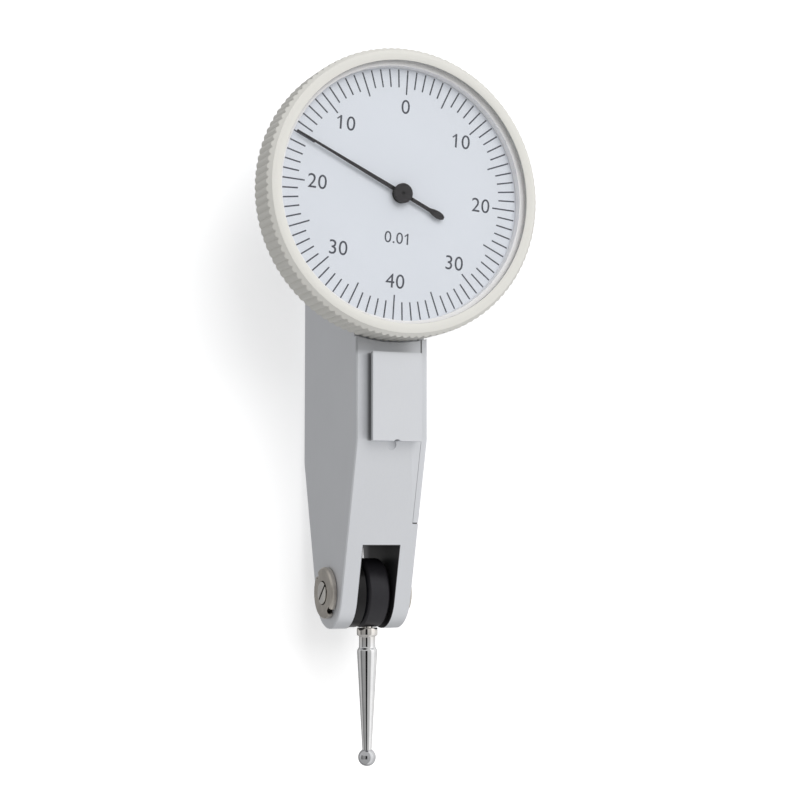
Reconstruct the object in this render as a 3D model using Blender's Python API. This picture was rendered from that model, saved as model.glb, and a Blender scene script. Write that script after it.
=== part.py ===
"""Dial test indicator: a lever movement in a slim body, with a round dial on its front.

Metres, +Z up, the dial looks along -Y and the side cover is on +X.
The origin is the centre of the front dovetail's clamping face.
"""
import math

import bmesh
import bpy
from mathutils import Vector

# Body
body_width = 0.0084
body_depth = 0.0169
pivot_behind_middle = 0.00027
tip_radius = 0.00404
taper_angle = math.radians(15.0)
pivot_drop = 0.02157
bezel_above_dovetail = 0.001345
end_above_dial = 0.0117
left_wall = 0.0009
front_wall = 0.0013
back_wall = 0.0013
end_wall = 0.0017
body_edge_bevel = 0.00013
cavity_corner = 0.0036
cavity_floor_above_pivot = 0.0120

# Dovetails
dovetail_width = 0.0058
dovetail_length = 0.00975
dovetail_height = 0.0015
dovetail_edge = 0.0006
dovetail_undercut = math.radians(35.0)
rear_dovetail_length = 0.0120
rear_dovetail_below_end = 0.0040
end_dovetail_inset = 0.0020
foot_hole_radius = 0.00055
foot_hole_depth = 0.0009
foot_hole_below_edge = 0.00035

# Fork
slot_width = 0.0044
roof_above_pivot = 0.0053

# Side cover
cover_thickness = 0.00072
cover_start_above_pivot = 0.0080
cover_gap = 0.00004
cover_end_gap = 0.00028
cover_screw_head_radius = 0.0011
cover_screw_shank_radius = 0.0005
cover_screw_length = 0.0022
cover_screw_slot = 0.00028
cover_screw_slot_depth = 0.00028
screw_slot_turn = math.radians(34.0)
low_screw_above_pivot = 0.0100
low_screw_spread = 0.0044
top_screw_inset = 0.0019

# Head
bezel_radius = 0.0160
knurl_depth = 0.00027
knurl_teeth = 120
bezel_length = 0.0048
bezel_chamfer_length = 0.0007
bezel_chamfer_drop = 0.00030
bezel_rear_chamfer = 0.0003
bezel_lip_width = 0.0015
bezel_wall = 0.00095
bezel_lip = 0.00033
bezel_to_seat = 0.00035
recess_gap = 0.00015
head_step = 0.0009
crystal_thickness = 0.0005
spacer_length = 0.0010
spacer_wall = 0.00090
dial_thickness = 0.0004
dial_hole_radius = 0.0009
case_plate = 0.0008
case_rim = 0.0010
case_hole_radius = 0.0012
snap_groove_depth = 0.00045
snap_wire_radius = 0.00018
snap_gap_angle = math.radians(24.0)
snap_above_plate = 0.0006
case_screw_head_radius = 0.0009
case_screw_head = 0.0004
case_screw_shank_radius = 0.00045
case_screw_slot_depth = 0.00014
case_screw_spread = 0.0021
case_screw_rise = 0.0066

# Clearances
seat_gap = 0.00005
running_gap = 0.00004
side_gap = 0.0001
overrun = 0.0010

# Pivots and contact lever
pivot_thread_radius = 0.00125
pivot_head_radius = 0.0013
pivot_pin_radius = 0.00045
pivot_pin_reach = 0.0007
pivot_head_proud = 0.00012
pivot_slot = 0.00034
pivot_slot_depth = 0.0004
pivot_slot_angle = math.radians(-43.0)
lock_nut_radius = 0.0029
lock_nut_thickness = 0.0007
lock_nut_chamfer = 0.00018
lock_nut_notch = 0.0008
lock_nut_notch_depth = 0.0006
disc_radius = 0.0039
disc_thickness = 0.0010
washer_radius = 0.0032
washer_thickness = 0.00022
washer_dish = 0.00008
sleeve_radius = 0.0013
hub_radius = 0.0039
hub_width = 0.0026
hub_edge = 0.00025
lever_arm_width = 0.0016
lever_arm_end_width = 0.0013
lever_tip_start = math.radians(15.0)
drive_pin_radius = 0.00025
drive_pin_reach = 0.0010

# Stylus, measured down from the pivot axis
stylus_thread_radius = 0.0006
stylus_thread_length = 0.0017
collar_radius = 0.00118
collar_below_pivot = 0.00396
collar_length = 0.0009
waist_radius = 0.00092
waist_length = 0.00136
shoulder_radius = 0.00115
shoulder_length = 0.00025
stem_end_radius = 0.00052
ball_radius = 0.0010
ball_below_pivot = 0.01849
ball_pocket_depth = 0.00045

# Gear train
crown_teeth = 60
centre_teeth = 12
crown_module = 0.00014
crown_face = 0.0006
crown_disc = 0.0004
train_spacing = 0.01422
sector_full_teeth = 168
pinion_teeth = 12
sector_plate = 0.0005
sector_plane = -0.0009
sector_lead_angle = math.radians(9.0)
sector_trail_angle = math.radians(4.0)
sector_rim = 0.0011
sector_spoke = 0.0013
sector_boss_radius = 0.0016
sector_boss_open = math.radians(60.0)
sector_flare_share = 2.0
fork_reach = 0.0007
pinion_length = 0.0011
arbor_radius = 0.0005
arbor_pivot_radius = 0.0002
arbor_pivot_reach = 0.00022
arbor_end_play = 0.0001
stroke_per_turn = 0.0008
tooth_height_share = 0.95
tooth_root_share = 0.27
tooth_tip_share = 0.10
tooth_gap_share = 0.50

# Jewels and their carriers
jewel_radius = 0.00075
jewel_thickness = 0.00045
end_stone_thickness = 0.0003
bridge_to_cover = 0.00028
bridge_thickness = 0.0006
bridge_half_width = 0.0012
bridge_shoulder_rise = 0.0050
post_to_wall = 0.00122
post_radius = 0.0009
post_hole_radius = 0.0005
bridge_screw_head = 0.0003
cock_thickness = 0.0012
cock_height = 0.0018
cock_foot = 0.0008
cock_foot_width = 0.0030
cock_foot_rise = 0.0056
cock_screw_radius = 0.0009

# Centre arbor, pointer and hairspring
centre_arbor_radius = 0.00032
centre_pinion_length = 0.0012
pointer_above_dial = 0.00048
pointer_thickness = 0.00014
pointer_short_of_lip = 0.0009
pointer_tail = 0.0055
pointer_root_width = 0.00042
pointer_tip_width = 0.00016
pointer_waist_width = 0.00036
pointer_leaf_width = 0.00080
pointer_angle = math.radians(-63.9)
boss_radius = 0.0011
boss_height = 0.00034
boss_bush_radius = 0.00062
boss_flange_radius = 0.00104
boss_dimple = 0.00035
collet_radius = 0.0008
hairspring_turns = 4
hairspring_inner_radius = 0.0011
hairspring_outer_radius = 0.0043
hairspring_thickness = 0.00008
hairspring_width = 0.0004
hairspring_above_plate = 0.0006
stud_size = 0.0007

# The leaf at the end of the pointer's tail: shares of the tail's length and of the leaf's half-width
leaf_shares = ((0.66, 0.45), (0.75, 0.80), (0.86, 1.0), (0.95, 0.80), (1.0, 0.35))

# Travel of the pointer, a little over one turn
turn_limit = math.radians(432.0)

# Facets and smoothing
fine_steps = 50
round_steps = 32
small_steps = 18
tiny_steps = 10
hairspring_steps = 16
ball_steps = 8
arc_steps = 8
wire_sides = 4
smooth_angle = math.radians(30.0)
bevel_angle = math.radians(35.0)
merge_distance = 0.0000001

# Derived sizes
pivot_setback = body_depth / 2 + pivot_behind_middle
dial_rise = dovetail_length / 2 + bezel_above_dovetail + bezel_radius
sector_rise = dial_rise - train_spacing
bezel_opening_radius = bezel_radius - bezel_lip_width
bezel_bore_radius = bezel_radius - bezel_wall
recess_radius = bezel_radius + recess_gap
pointer_reach = bezel_opening_radius - pointer_short_of_lip
end_dovetail_length = body_depth - head_step - 2 * end_dovetail_inset

# Derived places
half_body = body_width / 2
half_slot = slot_width / 2
front_face = dovetail_height
back_face = front_face + body_depth
pivot_y = front_face + pivot_setback
pivot_z = -pivot_drop
train_y = pivot_y
dial_z = dial_rise
end_z = dial_z + end_above_dial
seat_face = front_face + head_step
half_tip = tip_radius / math.cos(taper_angle)
front_taper_z = pivot_z + (pivot_setback - half_tip) / math.tan(taper_angle)
back_taper_z = pivot_z + (body_depth - pivot_setback - half_tip) / math.tan(taper_angle)
cover_inner = half_body - cover_thickness
cover_bottom = pivot_z + cover_start_above_pivot
cavity_left = left_wall - half_body
cavity_front = seat_face + front_wall
cavity_back = back_face - back_wall
cavity_floor = pivot_z + cavity_floor_above_pivot
cavity_top = end_z - end_wall
roof_z = pivot_z + roof_above_pivot
bridge_plane = cover_inner - bridge_to_cover - bridge_screw_head - bridge_thickness
post_spread = min(train_y - cavity_front, cavity_back - train_y) - post_radius - post_to_wall

# Stack of the head, from the seat towards the viewer
case_back = seat_face - seat_gap
case_floor = case_back - case_plate
bezel_back = seat_face - bezel_to_seat
bezel_front = bezel_back - bezel_length
crystal_front = bezel_front + bezel_lip + seat_gap
crystal_back = crystal_front + crystal_thickness
spacer_front = crystal_back + seat_gap
spacer_back = spacer_front + spacer_length
dial_front = spacer_back + seat_gap
dial_back = dial_front + dial_thickness
case_front = dial_back + side_gap
bezel_fit_radius = bezel_bore_radius - running_gap
snap_y = case_floor - snap_above_plate

# Lever stack along X, from the left cheek
disc_left = side_gap - half_slot
disc_right = disc_left + disc_thickness
washer_left = disc_right + seat_gap
washer_right = washer_left + washer_thickness
hub_left = washer_right + seat_gap
hub_right = hub_left + hub_width
hub_middle = (hub_left + hub_right) / 2
sleeve_right = half_slot - side_gap

# Gear sizes
centre_pitch_radius = crown_module * centre_teeth / 2
crown_pitch_radius = crown_module * crown_teeth / 2
train_module = 2 * train_spacing / (sector_full_teeth + pinion_teeth)
sector_pitch_radius = train_module * sector_full_teeth / 2
pinion_pitch_radius = train_module * pinion_teeth / 2
crown_ratio = crown_teeth / centre_teeth
sector_ratio = sector_full_teeth / pinion_teeth
turn_ratio = 2 * math.pi * ball_below_pivot / stroke_per_turn
lever_ratio = turn_ratio / (crown_ratio * sector_ratio)
pivot_span = sector_rise + pivot_drop
sector_arm = pivot_span / (1 + lever_ratio)
lever_arm = pivot_span - sector_arm
pinion_phase = math.pi / pinion_teeth - math.pi / 2
centre_phase = math.pi / centre_teeth

for old in list(bpy.data.objects):
    bpy.data.objects.remove(old, do_unlink=True)


def material(name, colour, roughness, metallic):
    """A plain Principled material."""
    made = bpy.data.materials.new(name)
    made.use_nodes = True
    shader = made.node_tree.nodes["Principled BSDF"]
    shader.inputs["Base Color"].default_value = (*colour, 1.0)
    shader.inputs["Roughness"].default_value = roughness
    shader.inputs["Metallic"].default_value = metallic
    return made


FINISHES = {
    "satin_chrome": ((0.62, 0.64, 0.66), 0.38, 0.9),
    "ivory_satin": ((0.74, 0.73, 0.67), 0.42, 0.55),
    "nickel": ((0.52, 0.49, 0.45), 0.32, 1.0),
    "polished_chrome": ((0.80, 0.80, 0.82), 0.08, 1.0),
    "steel": ((0.50, 0.51, 0.53), 0.30, 1.0),
    "brass": ((0.72, 0.55, 0.26), 0.30, 1.0),
    "ruby": ((0.55, 0.02, 0.08), 0.10, 0.0),
    "black_oxide": ((0.018, 0.018, 0.020), 0.45, 0.2),
    "black_paint": ((0.010, 0.010, 0.012), 0.50, 0.0),
    "dial_enamel": ((0.72, 0.76, 0.82), 0.55, 0.0),
    "clear_plastic": ((0.90, 0.92, 0.92), 0.05, 0.0),
    "spring_steel": ((0.35, 0.38, 0.45), 0.25, 1.0),
    "carbide": ((0.66, 0.67, 0.69), 0.12, 1.0),
}


def axis_empty(name, place, parent=None):
    """An empty on a joint's axis, which carries the pieces that turn about it."""
    empty = bpy.data.objects.new(name, None)
    empty.location = place
    bpy.context.scene.collection.objects.link(empty)
    if parent:
        empty.parent = parent
        empty.location = Vector(place) - parent.matrix_world.translation
    bpy.context.view_layer.update()
    return empty


def add_object(name, shape, finish, carrier=None, smooth=True):
    """Link a bmesh as an object whose mesh is written about its carrier's place."""
    mesh = bpy.data.meshes.new(name)
    bmesh.ops.recalc_face_normals(shape, faces=shape.faces[:])
    shape.to_mesh(mesh)
    shape.free()
    if smooth:
        mesh.shade_smooth()
        mesh.set_sharp_from_angle(angle=smooth_angle)
    made = bpy.data.objects.new(name, mesh)
    bpy.context.scene.collection.objects.link(made)
    if carrier:
        made.parent = carrier
    if finish:
        made.data.materials.append(bpy.data.materials.get(name) or material(name, *FINISHES[finish]))
    return made


def turned_shape(points, axis, steps, centre=(0, 0, 0)):
    """Spin a profile of (distance along the axis, radius) points about X, Y or Z."""
    shape = bmesh.new()
    middle = Vector(centre)
    corners = []
    for along, radius in points:
        if axis == "X":
            spot = Vector((along, 0, radius))
        elif axis == "Y":
            spot = Vector((radius, along, 0))
        else:
            spot = Vector((radius, 0, along))
        corners.append(shape.verts.new(middle + spot))
    edges = [shape.edges.new(pair) for pair in zip(corners, corners[1:])]
    closed = points[0][1] > 0 or points[-1][1] > 0
    if closed:
        edges.append(shape.edges.new((corners[-1], corners[0])))
    direction = {"X": (1, 0, 0), "Y": (0, 1, 0), "Z": (0, 0, 1)}[axis]
    bmesh.ops.spin(shape, geom=corners + edges, cent=middle, axis=direction,
                   angle=2 * math.pi, steps=steps, use_merge=True)
    bmesh.ops.remove_doubles(shape, verts=shape.verts[:], dist=merge_distance)
    return shape


def turned(name, finish, points, axis, steps=round_steps, centre=(0, 0, 0), carrier=None):
    """A turned piece as an object."""
    return add_object(name, turned_shape(points, axis, steps, centre), finish, carrier)


def plate_shape(outline, axis, start, end):
    """Extrude an outline along X (y, z points), Y (x, z points) or Z (x, y points)."""
    shape = bmesh.new()
    corners = []
    for first, second in outline:
        spot = {"X": (start, first, second), "Y": (first, start, second), "Z": (first, second, start)}[axis]
        corners.append(shape.verts.new(spot))
    face = shape.faces.new(corners)
    travel = Vector({"X": (1, 0, 0), "Y": (0, 1, 0), "Z": (0, 0, 1)}[axis]) * (end - start)
    grown = bmesh.ops.extrude_face_region(shape, geom=[face])["geom"]
    bmesh.ops.translate(shape, verts=[g for g in grown if isinstance(g, bmesh.types.BMVert)], vec=travel)
    return shape


def plate(name, finish, outline, axis, start, end, carrier=None, smooth=False):
    """An extruded piece as an object."""
    return add_object(name, plate_shape(outline, axis, start, end), finish, carrier, smooth)


def rectangle(low_first, high_first, low_second, high_second):
    """Four corners of an upright rectangle."""
    return [(low_first, low_second), (high_first, low_second),
            (high_first, high_second), (low_first, high_second)]


def arc(centre, radius, start, end, steps):
    """Points on an arc, both ends included."""
    turns = [start + (end - start) * step / steps for step in range(steps + 1)]
    return [(centre[0] + radius * math.cos(turn), centre[1] + radius * math.sin(turn)) for turn in turns]


def hide_tool(tool):
    """A cutter or an added lug stays in the scene as a hidden wire shape."""
    tool.hide_render = True
    tool.display_type = "WIRE"
    tool.data.materials.clear()


def combine(target, tool, operation="DIFFERENCE"):
    """Cut a tool from a piece, or join it, with an exact Boolean."""
    hide_tool(tool)
    change = target.modifiers.new(tool.name, "BOOLEAN")
    change.operation = operation
    change.object = tool
    change.solver = "EXACT"


def bore(target, name, axis, centre, start, end, radius, steps=small_steps, carrier=None):
    """Drill a round hole from start to end along an axis."""
    points = [(start, 0), (start, radius), (end, radius), (end, 0)]
    combine(target, turned("cut_" + name, None, points, axis, steps, centre, carrier))


def bevel_edges(target, width, segments=1):
    """A small bevel on the sharp edges."""
    change = target.modifiers.new("edge", "BEVEL")
    change.width = width
    change.segments = segments
    change.limit_method = "ANGLE"
    change.angle_limit = bevel_angle
    change.harden_normals = False


def slotted_head(target, name, axis, centre, face, depth, width, length, angle=0, carrier=None):
    """Cut a screwdriver slot into the head whose face is at a distance along the axis."""
    reach = length / 2 + overrun
    half = width / 2
    cos, sin = math.cos(angle), math.sin(angle)
    corners = [(centre[0] + along * cos - across * sin, centre[1] + along * sin + across * cos)
               for along, across in ((-reach, -half), (reach, -half), (reach, half), (-reach, half))]
    outer = face + math.copysign(overrun, depth)
    tool = plate("cut_" + name + "_slot", None, corners, axis, min(face - depth, outer),
                 max(face - depth, outer), carrier)
    combine(target, tool)


def front_edge(height):
    """The y of the body's front edge at a height."""
    return front_face + max(0, front_taper_z - height) * math.tan(taper_angle)


def back_edge(height):
    """The y of the body's back edge at a height."""
    return back_face - max(0, back_taper_z - height) * math.tan(taper_angle)


def body_outline():
    """The body's side view: straight above, wedge-shaped below, round at the tip."""
    tip = arc((pivot_y, pivot_z), tip_radius, -taper_angle, taper_angle - math.pi, small_steps)
    front = [(front_face, front_taper_z), (front_face, end_z)]
    return tip + front + [(back_face, end_z), (back_face, back_taper_z)]


def cover_outline():
    """The body's side view above the foot of the cover."""
    low = [(back_edge(cover_bottom), cover_bottom), (front_edge(cover_bottom), cover_bottom)]
    high = [(front_face, front_taper_z), (front_face, end_z), (back_face, end_z), (back_face, back_taper_z)]
    return low + [point for point in high if point[1] > cover_bottom]


def dovetail_profile(height):
    """Half-widths and depths of a dovetail, its clamping face at zero, its root at the body."""
    narrow = dovetail_width / 2 - (height - dovetail_edge) * math.tan(dovetail_undercut)
    root = height + overrun / 2
    half = dovetail_width / 2
    return [(-half, 0), (half, 0), (half, dovetail_edge), (narrow, height), (narrow, root),
            (-narrow, root), (-narrow, height), (-half, dovetail_edge)]


def screw_places():
    """Places (y, z) of the four cover screws."""
    low_z = pivot_z + low_screw_above_pivot
    top_z = end_z - top_screw_inset
    return [(pivot_y - low_screw_spread, low_z), (pivot_y + low_screw_spread, low_z),
            (seat_face + top_screw_inset, top_z), (back_face - top_screw_inset, top_z)]


def cut_head_seat(target):
    """Mill the round recess in the front face that the head sits in."""
    bore(target, target.name + "_head_seat", "Y", (0, 0, dial_z), front_face - overrun, seat_face,
         recess_radius, fine_steps)


def build_frame():
    """The body: fork, cavity open towards the cover, seat for the head, three dovetails."""
    frame = plate("frame", "satin_chrome", body_outline(), "X", -half_body, half_body)
    bevel_edges(frame, body_edge_bevel)
    cut_head_seat(frame)
    section = dovetail_profile(dovetail_height)
    low, high = -dovetail_length / 2, dovetail_length / 2
    combine(frame, plate("lug_front_dovetail", None, section, "Z", low, high), "UNION")
    rear = [(across, back_face + dovetail_height - deep) for across, deep in section]
    high = end_z - rear_dovetail_below_end
    low = high - rear_dovetail_length
    combine(frame, plate("lug_rear_dovetail", None, rear, "Z", low, high), "UNION")
    top = [(across, end_z + dovetail_height - deep) for across, deep in section]
    low = (seat_face + back_face - end_dovetail_length) / 2
    high = low + end_dovetail_length
    combine(frame, plate("lug_end_dovetail", None, top, "Y", low, high), "UNION")

    rebate = rectangle(front_face - overrun, back_face + overrun,
                       cover_bottom - cover_end_gap, end_z + overrun)
    combine(frame, plate("cut_cover_rebate", None, rebate, "X", cover_inner - cover_gap, half_body + overrun))
    floor_front = max(cavity_front, front_edge(cavity_floor) + front_wall)
    cavity = [(floor_front, cavity_floor), (back_edge(cavity_floor) - back_wall, cavity_floor),
              (cavity_back, max(back_taper_z, cavity_floor + side_gap)),
              (cavity_back, cavity_top - cavity_corner),
              (cavity_back - cavity_corner, cavity_top), (cavity_front + cavity_corner, cavity_top),
              (cavity_front, cavity_top - cavity_corner), (cavity_front, dial_z - recess_radius)]
    combine(frame, plate("cut_cavity", None, cavity, "X", cavity_left, cover_inner + overrun))
    slot = rectangle(-half_slot, half_slot, pivot_z - tip_radius - overrun, roof_z)
    combine(frame, plate("cut_fork_slot", None, slot, "Y", front_face - overrun, back_face + overrun))
    arm_half = lever_arm_width / 2 + running_gap
    swing = cavity_floor_above_pivot * math.tan(turn_limit / turn_ratio)
    channel = rectangle(pivot_y - arm_half - swing - side_gap, pivot_y + arm_half + side_gap,
                        roof_z - overrun, cavity_floor + overrun)
    combine(frame, plate("cut_arm_channel", None, channel, "X", -half_slot, disc_right + side_gap))
    bore(frame, "pivot_hole", "X", (0, pivot_y, pivot_z), -half_body - overrun, half_body + overrun,
         pivot_thread_radius + running_gap)
    bore(frame, "centre_bush", "Y", (0, 0, dial_z), seat_face - overrun, cavity_front + overrun,
         jewel_radius + running_gap)
    for number, (across, rise) in enumerate(case_screw_places(), 1):
        bore(frame, "case_screw_hole_%d" % number, "Y", (across, 0, rise), seat_face - overrun,
             cavity_front + overrun, case_screw_shank_radius + running_gap, tiny_steps)
    for number, (deep, rise) in enumerate(screw_places(), 1):
        bore(frame, "cover_screw_hole_%d" % number, "X", (0, deep, rise),
             half_body - cover_screw_length - side_gap, half_body + overrun,
             cover_screw_shank_radius + running_gap, tiny_steps)
    for name, rise in (("crown", dial_z), ("sector", sector_rise)):
        bore(frame, name + "_jewel_seat", "X", (0, train_y, rise),
             cavity_left - jewel_thickness - running_gap, cavity_left + overrun, jewel_radius + running_gap)
    foot = -dovetail_length / 2 - foot_hole_below_edge
    bore(frame, "foot_hole", "Y", (0, 0, foot), -overrun, front_face + foot_hole_depth,
         foot_hole_radius, tiny_steps)
    return frame


def build_cover():
    """The flat side cover, the right-hand slice of the body, with its countersunk screws."""
    cover = plate("side_cover", "satin_chrome", cover_outline(), "X", cover_inner - overrun, half_body)
    bevel_edges(cover, body_edge_bevel)
    inner = rectangle(front_face - overrun, back_face + overrun, cover_bottom - overrun, end_z + overrun)
    combine(cover, plate("cut_cover_inner", None, inner, "X", cover_inner - 2 * overrun, cover_inner))
    cut_head_seat(cover)
    sink = cover_screw_head_radius - cover_screw_shank_radius
    for number, (deep, rise) in enumerate(screw_places(), 1):
        centre = (0, deep, rise)
        hole = [(cover_inner - overrun, 0), (cover_inner - overrun, cover_screw_shank_radius + running_gap),
                (half_body - sink, cover_screw_shank_radius + running_gap),
                (half_body, cover_screw_head_radius + running_gap),
                (half_body + overrun, cover_screw_head_radius + overrun + running_gap),
                (half_body + overrun, 0)]
        combine(cover, turned("cut_cover_hole_%d" % number, None, hole, "X", small_steps, centre))
        face = half_body - running_gap
        tail = half_body - cover_screw_length
        shank = [(tail, 0), (tail, cover_screw_shank_radius),
                 (face - sink, cover_screw_shank_radius), (face, cover_screw_head_radius), (face, 0)]
        screw = turned("cover_screw_%d" % number, "nickel", shank, "X", small_steps, centre)
        slotted_head(screw, screw.name, "X", centre[1:], face, cover_screw_slot_depth, cover_screw_slot,
                     2 * cover_screw_head_radius, number * screw_slot_turn)
    return cover


def case_screw_places():
    """Places (x, z) of the four screws that hold the round case to the body."""
    return [(side * case_screw_spread - cover_thickness / 2, dial_z + rise * case_screw_rise)
            for side in (-1, 1) for rise in (-1, 1)]


def build_case():
    """The round case behind the dial, its four screws and the snap ring."""
    rim_inner = bezel_fit_radius - case_rim
    profile = [(case_back, case_hole_radius), (case_back, bezel_fit_radius - bezel_rear_chamfer),
               (case_back - bezel_rear_chamfer, bezel_fit_radius),
               (snap_y + snap_wire_radius + seat_gap, bezel_fit_radius),
               (snap_y + snap_wire_radius + seat_gap, bezel_fit_radius - snap_groove_depth),
               (snap_y - snap_wire_radius - seat_gap, bezel_fit_radius - snap_groove_depth),
               (snap_y - snap_wire_radius - seat_gap, bezel_fit_radius), (case_front, bezel_fit_radius),
               (case_front, rim_inner), (case_floor, rim_inner), (case_floor, case_hole_radius)]
    case = turned("head_case", "satin_chrome", profile, "Y", fine_steps, (0, 0, dial_z))
    for number, (across, rise) in enumerate(case_screw_places(), 1):
        centre = (across, 0, rise)
        bore(case, "case_hole_%d" % number, "Y", centre, case_floor - overrun, case_back + overrun,
             case_screw_shank_radius + running_gap, tiny_steps)
        head = case_floor - seat_gap
        face = head - case_screw_head
        shank = [(face, 0), (face, case_screw_head_radius), (head, case_screw_head_radius),
                 (head, case_screw_shank_radius), (cavity_front, case_screw_shank_radius), (cavity_front, 0)]
        screw = turned("case_screw_%d" % number, "steel", shank, "Y", tiny_steps, centre)
        slotted_head(screw, screw.name, "Y", (across, rise), face, -case_screw_slot_depth, cover_screw_slot,
                     2 * case_screw_head_radius, number * screw_slot_turn)
    build_snap_ring()
    return case


def build_snap_ring():
    """An open wire ring that lies in the case's groove and drags on the bezel's bore."""
    radius = bezel_fit_radius - snap_wire_radius
    reach = 2 * math.pi - snap_gap_angle
    rings = []
    shape = bmesh.new()
    for step in range(round_steps + 1):
        turn = snap_gap_angle / 2 + reach * step / round_steps - math.pi / 2
        ring = []
        for side in range(wire_sides):
            around = 2 * math.pi * side / wire_sides
            out = radius + snap_wire_radius * math.cos(around)
            ring.append(shape.verts.new((out * math.cos(turn), snap_y + snap_wire_radius * math.sin(around),
                                         dial_z + out * math.sin(turn))))
        rings.append(ring)
    for first, second in zip(rings, rings[1:]):
        for side in range(wire_sides):
            after = (side + 1) % wire_sides
            shape.faces.new((first[side], first[after], second[after], second[side]))
    shape.faces.new(rings[0])
    shape.faces.new(rings[-1])
    return add_object("snap_ring", shape, "spring_steel")


def build_bezel(carrier):
    """The turned bezel with its straight knurl, and the crystal, spacer and dial that turn with it."""
    root = bezel_radius - knurl_depth
    shoulder = root - running_gap
    lip_back = bezel_front + bezel_lip
    knurl_front = bezel_front + bezel_chamfer_length
    knurl_back = bezel_back - bezel_rear_chamfer
    profile = [(knurl_back, shoulder), (bezel_back, shoulder - bezel_rear_chamfer),
               (bezel_back, bezel_bore_radius), (lip_back, bezel_bore_radius),
               (lip_back, bezel_opening_radius), (bezel_front, bezel_opening_radius),
               (bezel_front, root - bezel_chamfer_drop), (knurl_front, shoulder)]
    middle = carrier.matrix_world.translation
    shape = bmesh.new()

    def corner(along, radius, step):
        turn = math.pi * step / knurl_teeth
        return shape.verts.new((radius * math.sin(turn), along - middle.y, radius * math.cos(turn)))

    rows, flutes = [], []
    for tooth in range(knurl_teeth):
        rows.append([corner(along, radius, 2 * tooth) for along, radius in profile])
        flutes.append([(corner(knurl_front, radius, step), corner(knurl_back, radius, step))
                       for radius, step in ((root, 2 * tooth), (bezel_radius, 2 * tooth + 1))])
    for tooth in range(knurl_teeth):
        after = (tooth + 1) % knurl_teeth
        row, following = rows[tooth], rows[after]
        for place in range(len(row) - 1):
            shape.faces.new((row[place], row[place + 1], following[place + 1], following[place]))
        low, high, low_after = flutes[tooth][0], flutes[tooth][1], flutes[after][0]
        shape.faces.new((low[0], high[0], high[1], low[1]))
        shape.faces.new((high[0], low_after[0], low_after[1], high[1]))
        shape.faces.new((row[-1], low[0], high[0], low_after[0], following[-1]))
        shape.faces.new((row[0], following[0], low_after[1], high[1], low[1]))
    bezel = add_object("bezel", shape, "ivory_satin", carrier, smooth=False)

    def local(points):
        return [(along - middle.y, radius) for along, radius in points]

    rim = bezel_fit_radius
    turned("crystal", "clear_plastic", local([(crystal_front, 0), (crystal_front, rim), (crystal_back, rim),
                                             (crystal_back, 0)]), "Y", fine_steps, carrier=carrier)
    turned("crystal_spacer", "ivory_satin", local([(spacer_front, rim - spacer_wall), (spacer_front, rim),
                                                  (spacer_back, rim), (spacer_back, rim - spacer_wall)]),
           "Y", fine_steps, carrier=carrier)
    turned("dial_plate", "dial_enamel", local([(dial_front, dial_hole_radius), (dial_front, rim),
                                               (dial_back, rim), (dial_back, dial_hole_radius)]),
           "Y", fine_steps, carrier=carrier)
    return bezel


def build_pivots():
    """Slotted pivot screws through both cheeks, each with a notched lock nut."""
    nut_profile = [(half_body + seat_gap, pivot_thread_radius + side_gap),
                   (half_body + seat_gap, lock_nut_radius),
                   (half_body + lock_nut_thickness - lock_nut_chamfer, lock_nut_radius),
                   (half_body + lock_nut_thickness, lock_nut_radius - lock_nut_chamfer),
                   (half_body + lock_nut_thickness, pivot_thread_radius + side_gap)]
    face = half_body + lock_nut_thickness + pivot_head_proud
    thread_end = half_slot + running_gap
    pin_end = thread_end - pivot_pin_reach
    screw_profile = [(face, 0), (face, pivot_head_radius - running_gap), (thread_end, pivot_thread_radius),
                     (thread_end, pivot_pin_radius), (pin_end, pivot_pin_radius), (pin_end, 0)]
    for side, name in ((-1, "left"), (1, "right")):
        centre = (0, pivot_y, pivot_z)
        nut_points = [(side * along, radius) for along, radius in nut_profile]
        nut = turned("lock_nut_" + name, "nickel", nut_points, "X", round_steps, centre)
        notch_low = lock_nut_radius - lock_nut_notch_depth
        half = lock_nut_notch / 2
        turn = pivot_slot_angle + math.pi / 2
        for number, way in enumerate((1, -1), 1):
            corners = [(way * along, across) for along, across in
                       ((notch_low, -half), (lock_nut_radius + overrun, -half),
                        (lock_nut_radius + overrun, half), (notch_low, half))]
            corners = [(pivot_y + along, pivot_z + across) for along, across in turn_points(corners, turn)]
            ends = sorted((side * (half_body - overrun), side * (half_body + lock_nut_thickness + overrun)))
            combine(nut, plate("cut_%s_notch_%d" % (nut.name, number), None, corners, "X", *ends))
        screw_points = [(side * along, radius) for along, radius in screw_profile]
        screw = turned("pivot_screw_" + name, "nickel", screw_points, "X", small_steps, centre)
        slotted_head(screw, screw.name, "X", (pivot_y, pivot_z), side * face, side * pivot_slot_depth,
                     pivot_slot, 2 * pivot_head_radius, pivot_slot_angle)


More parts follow.
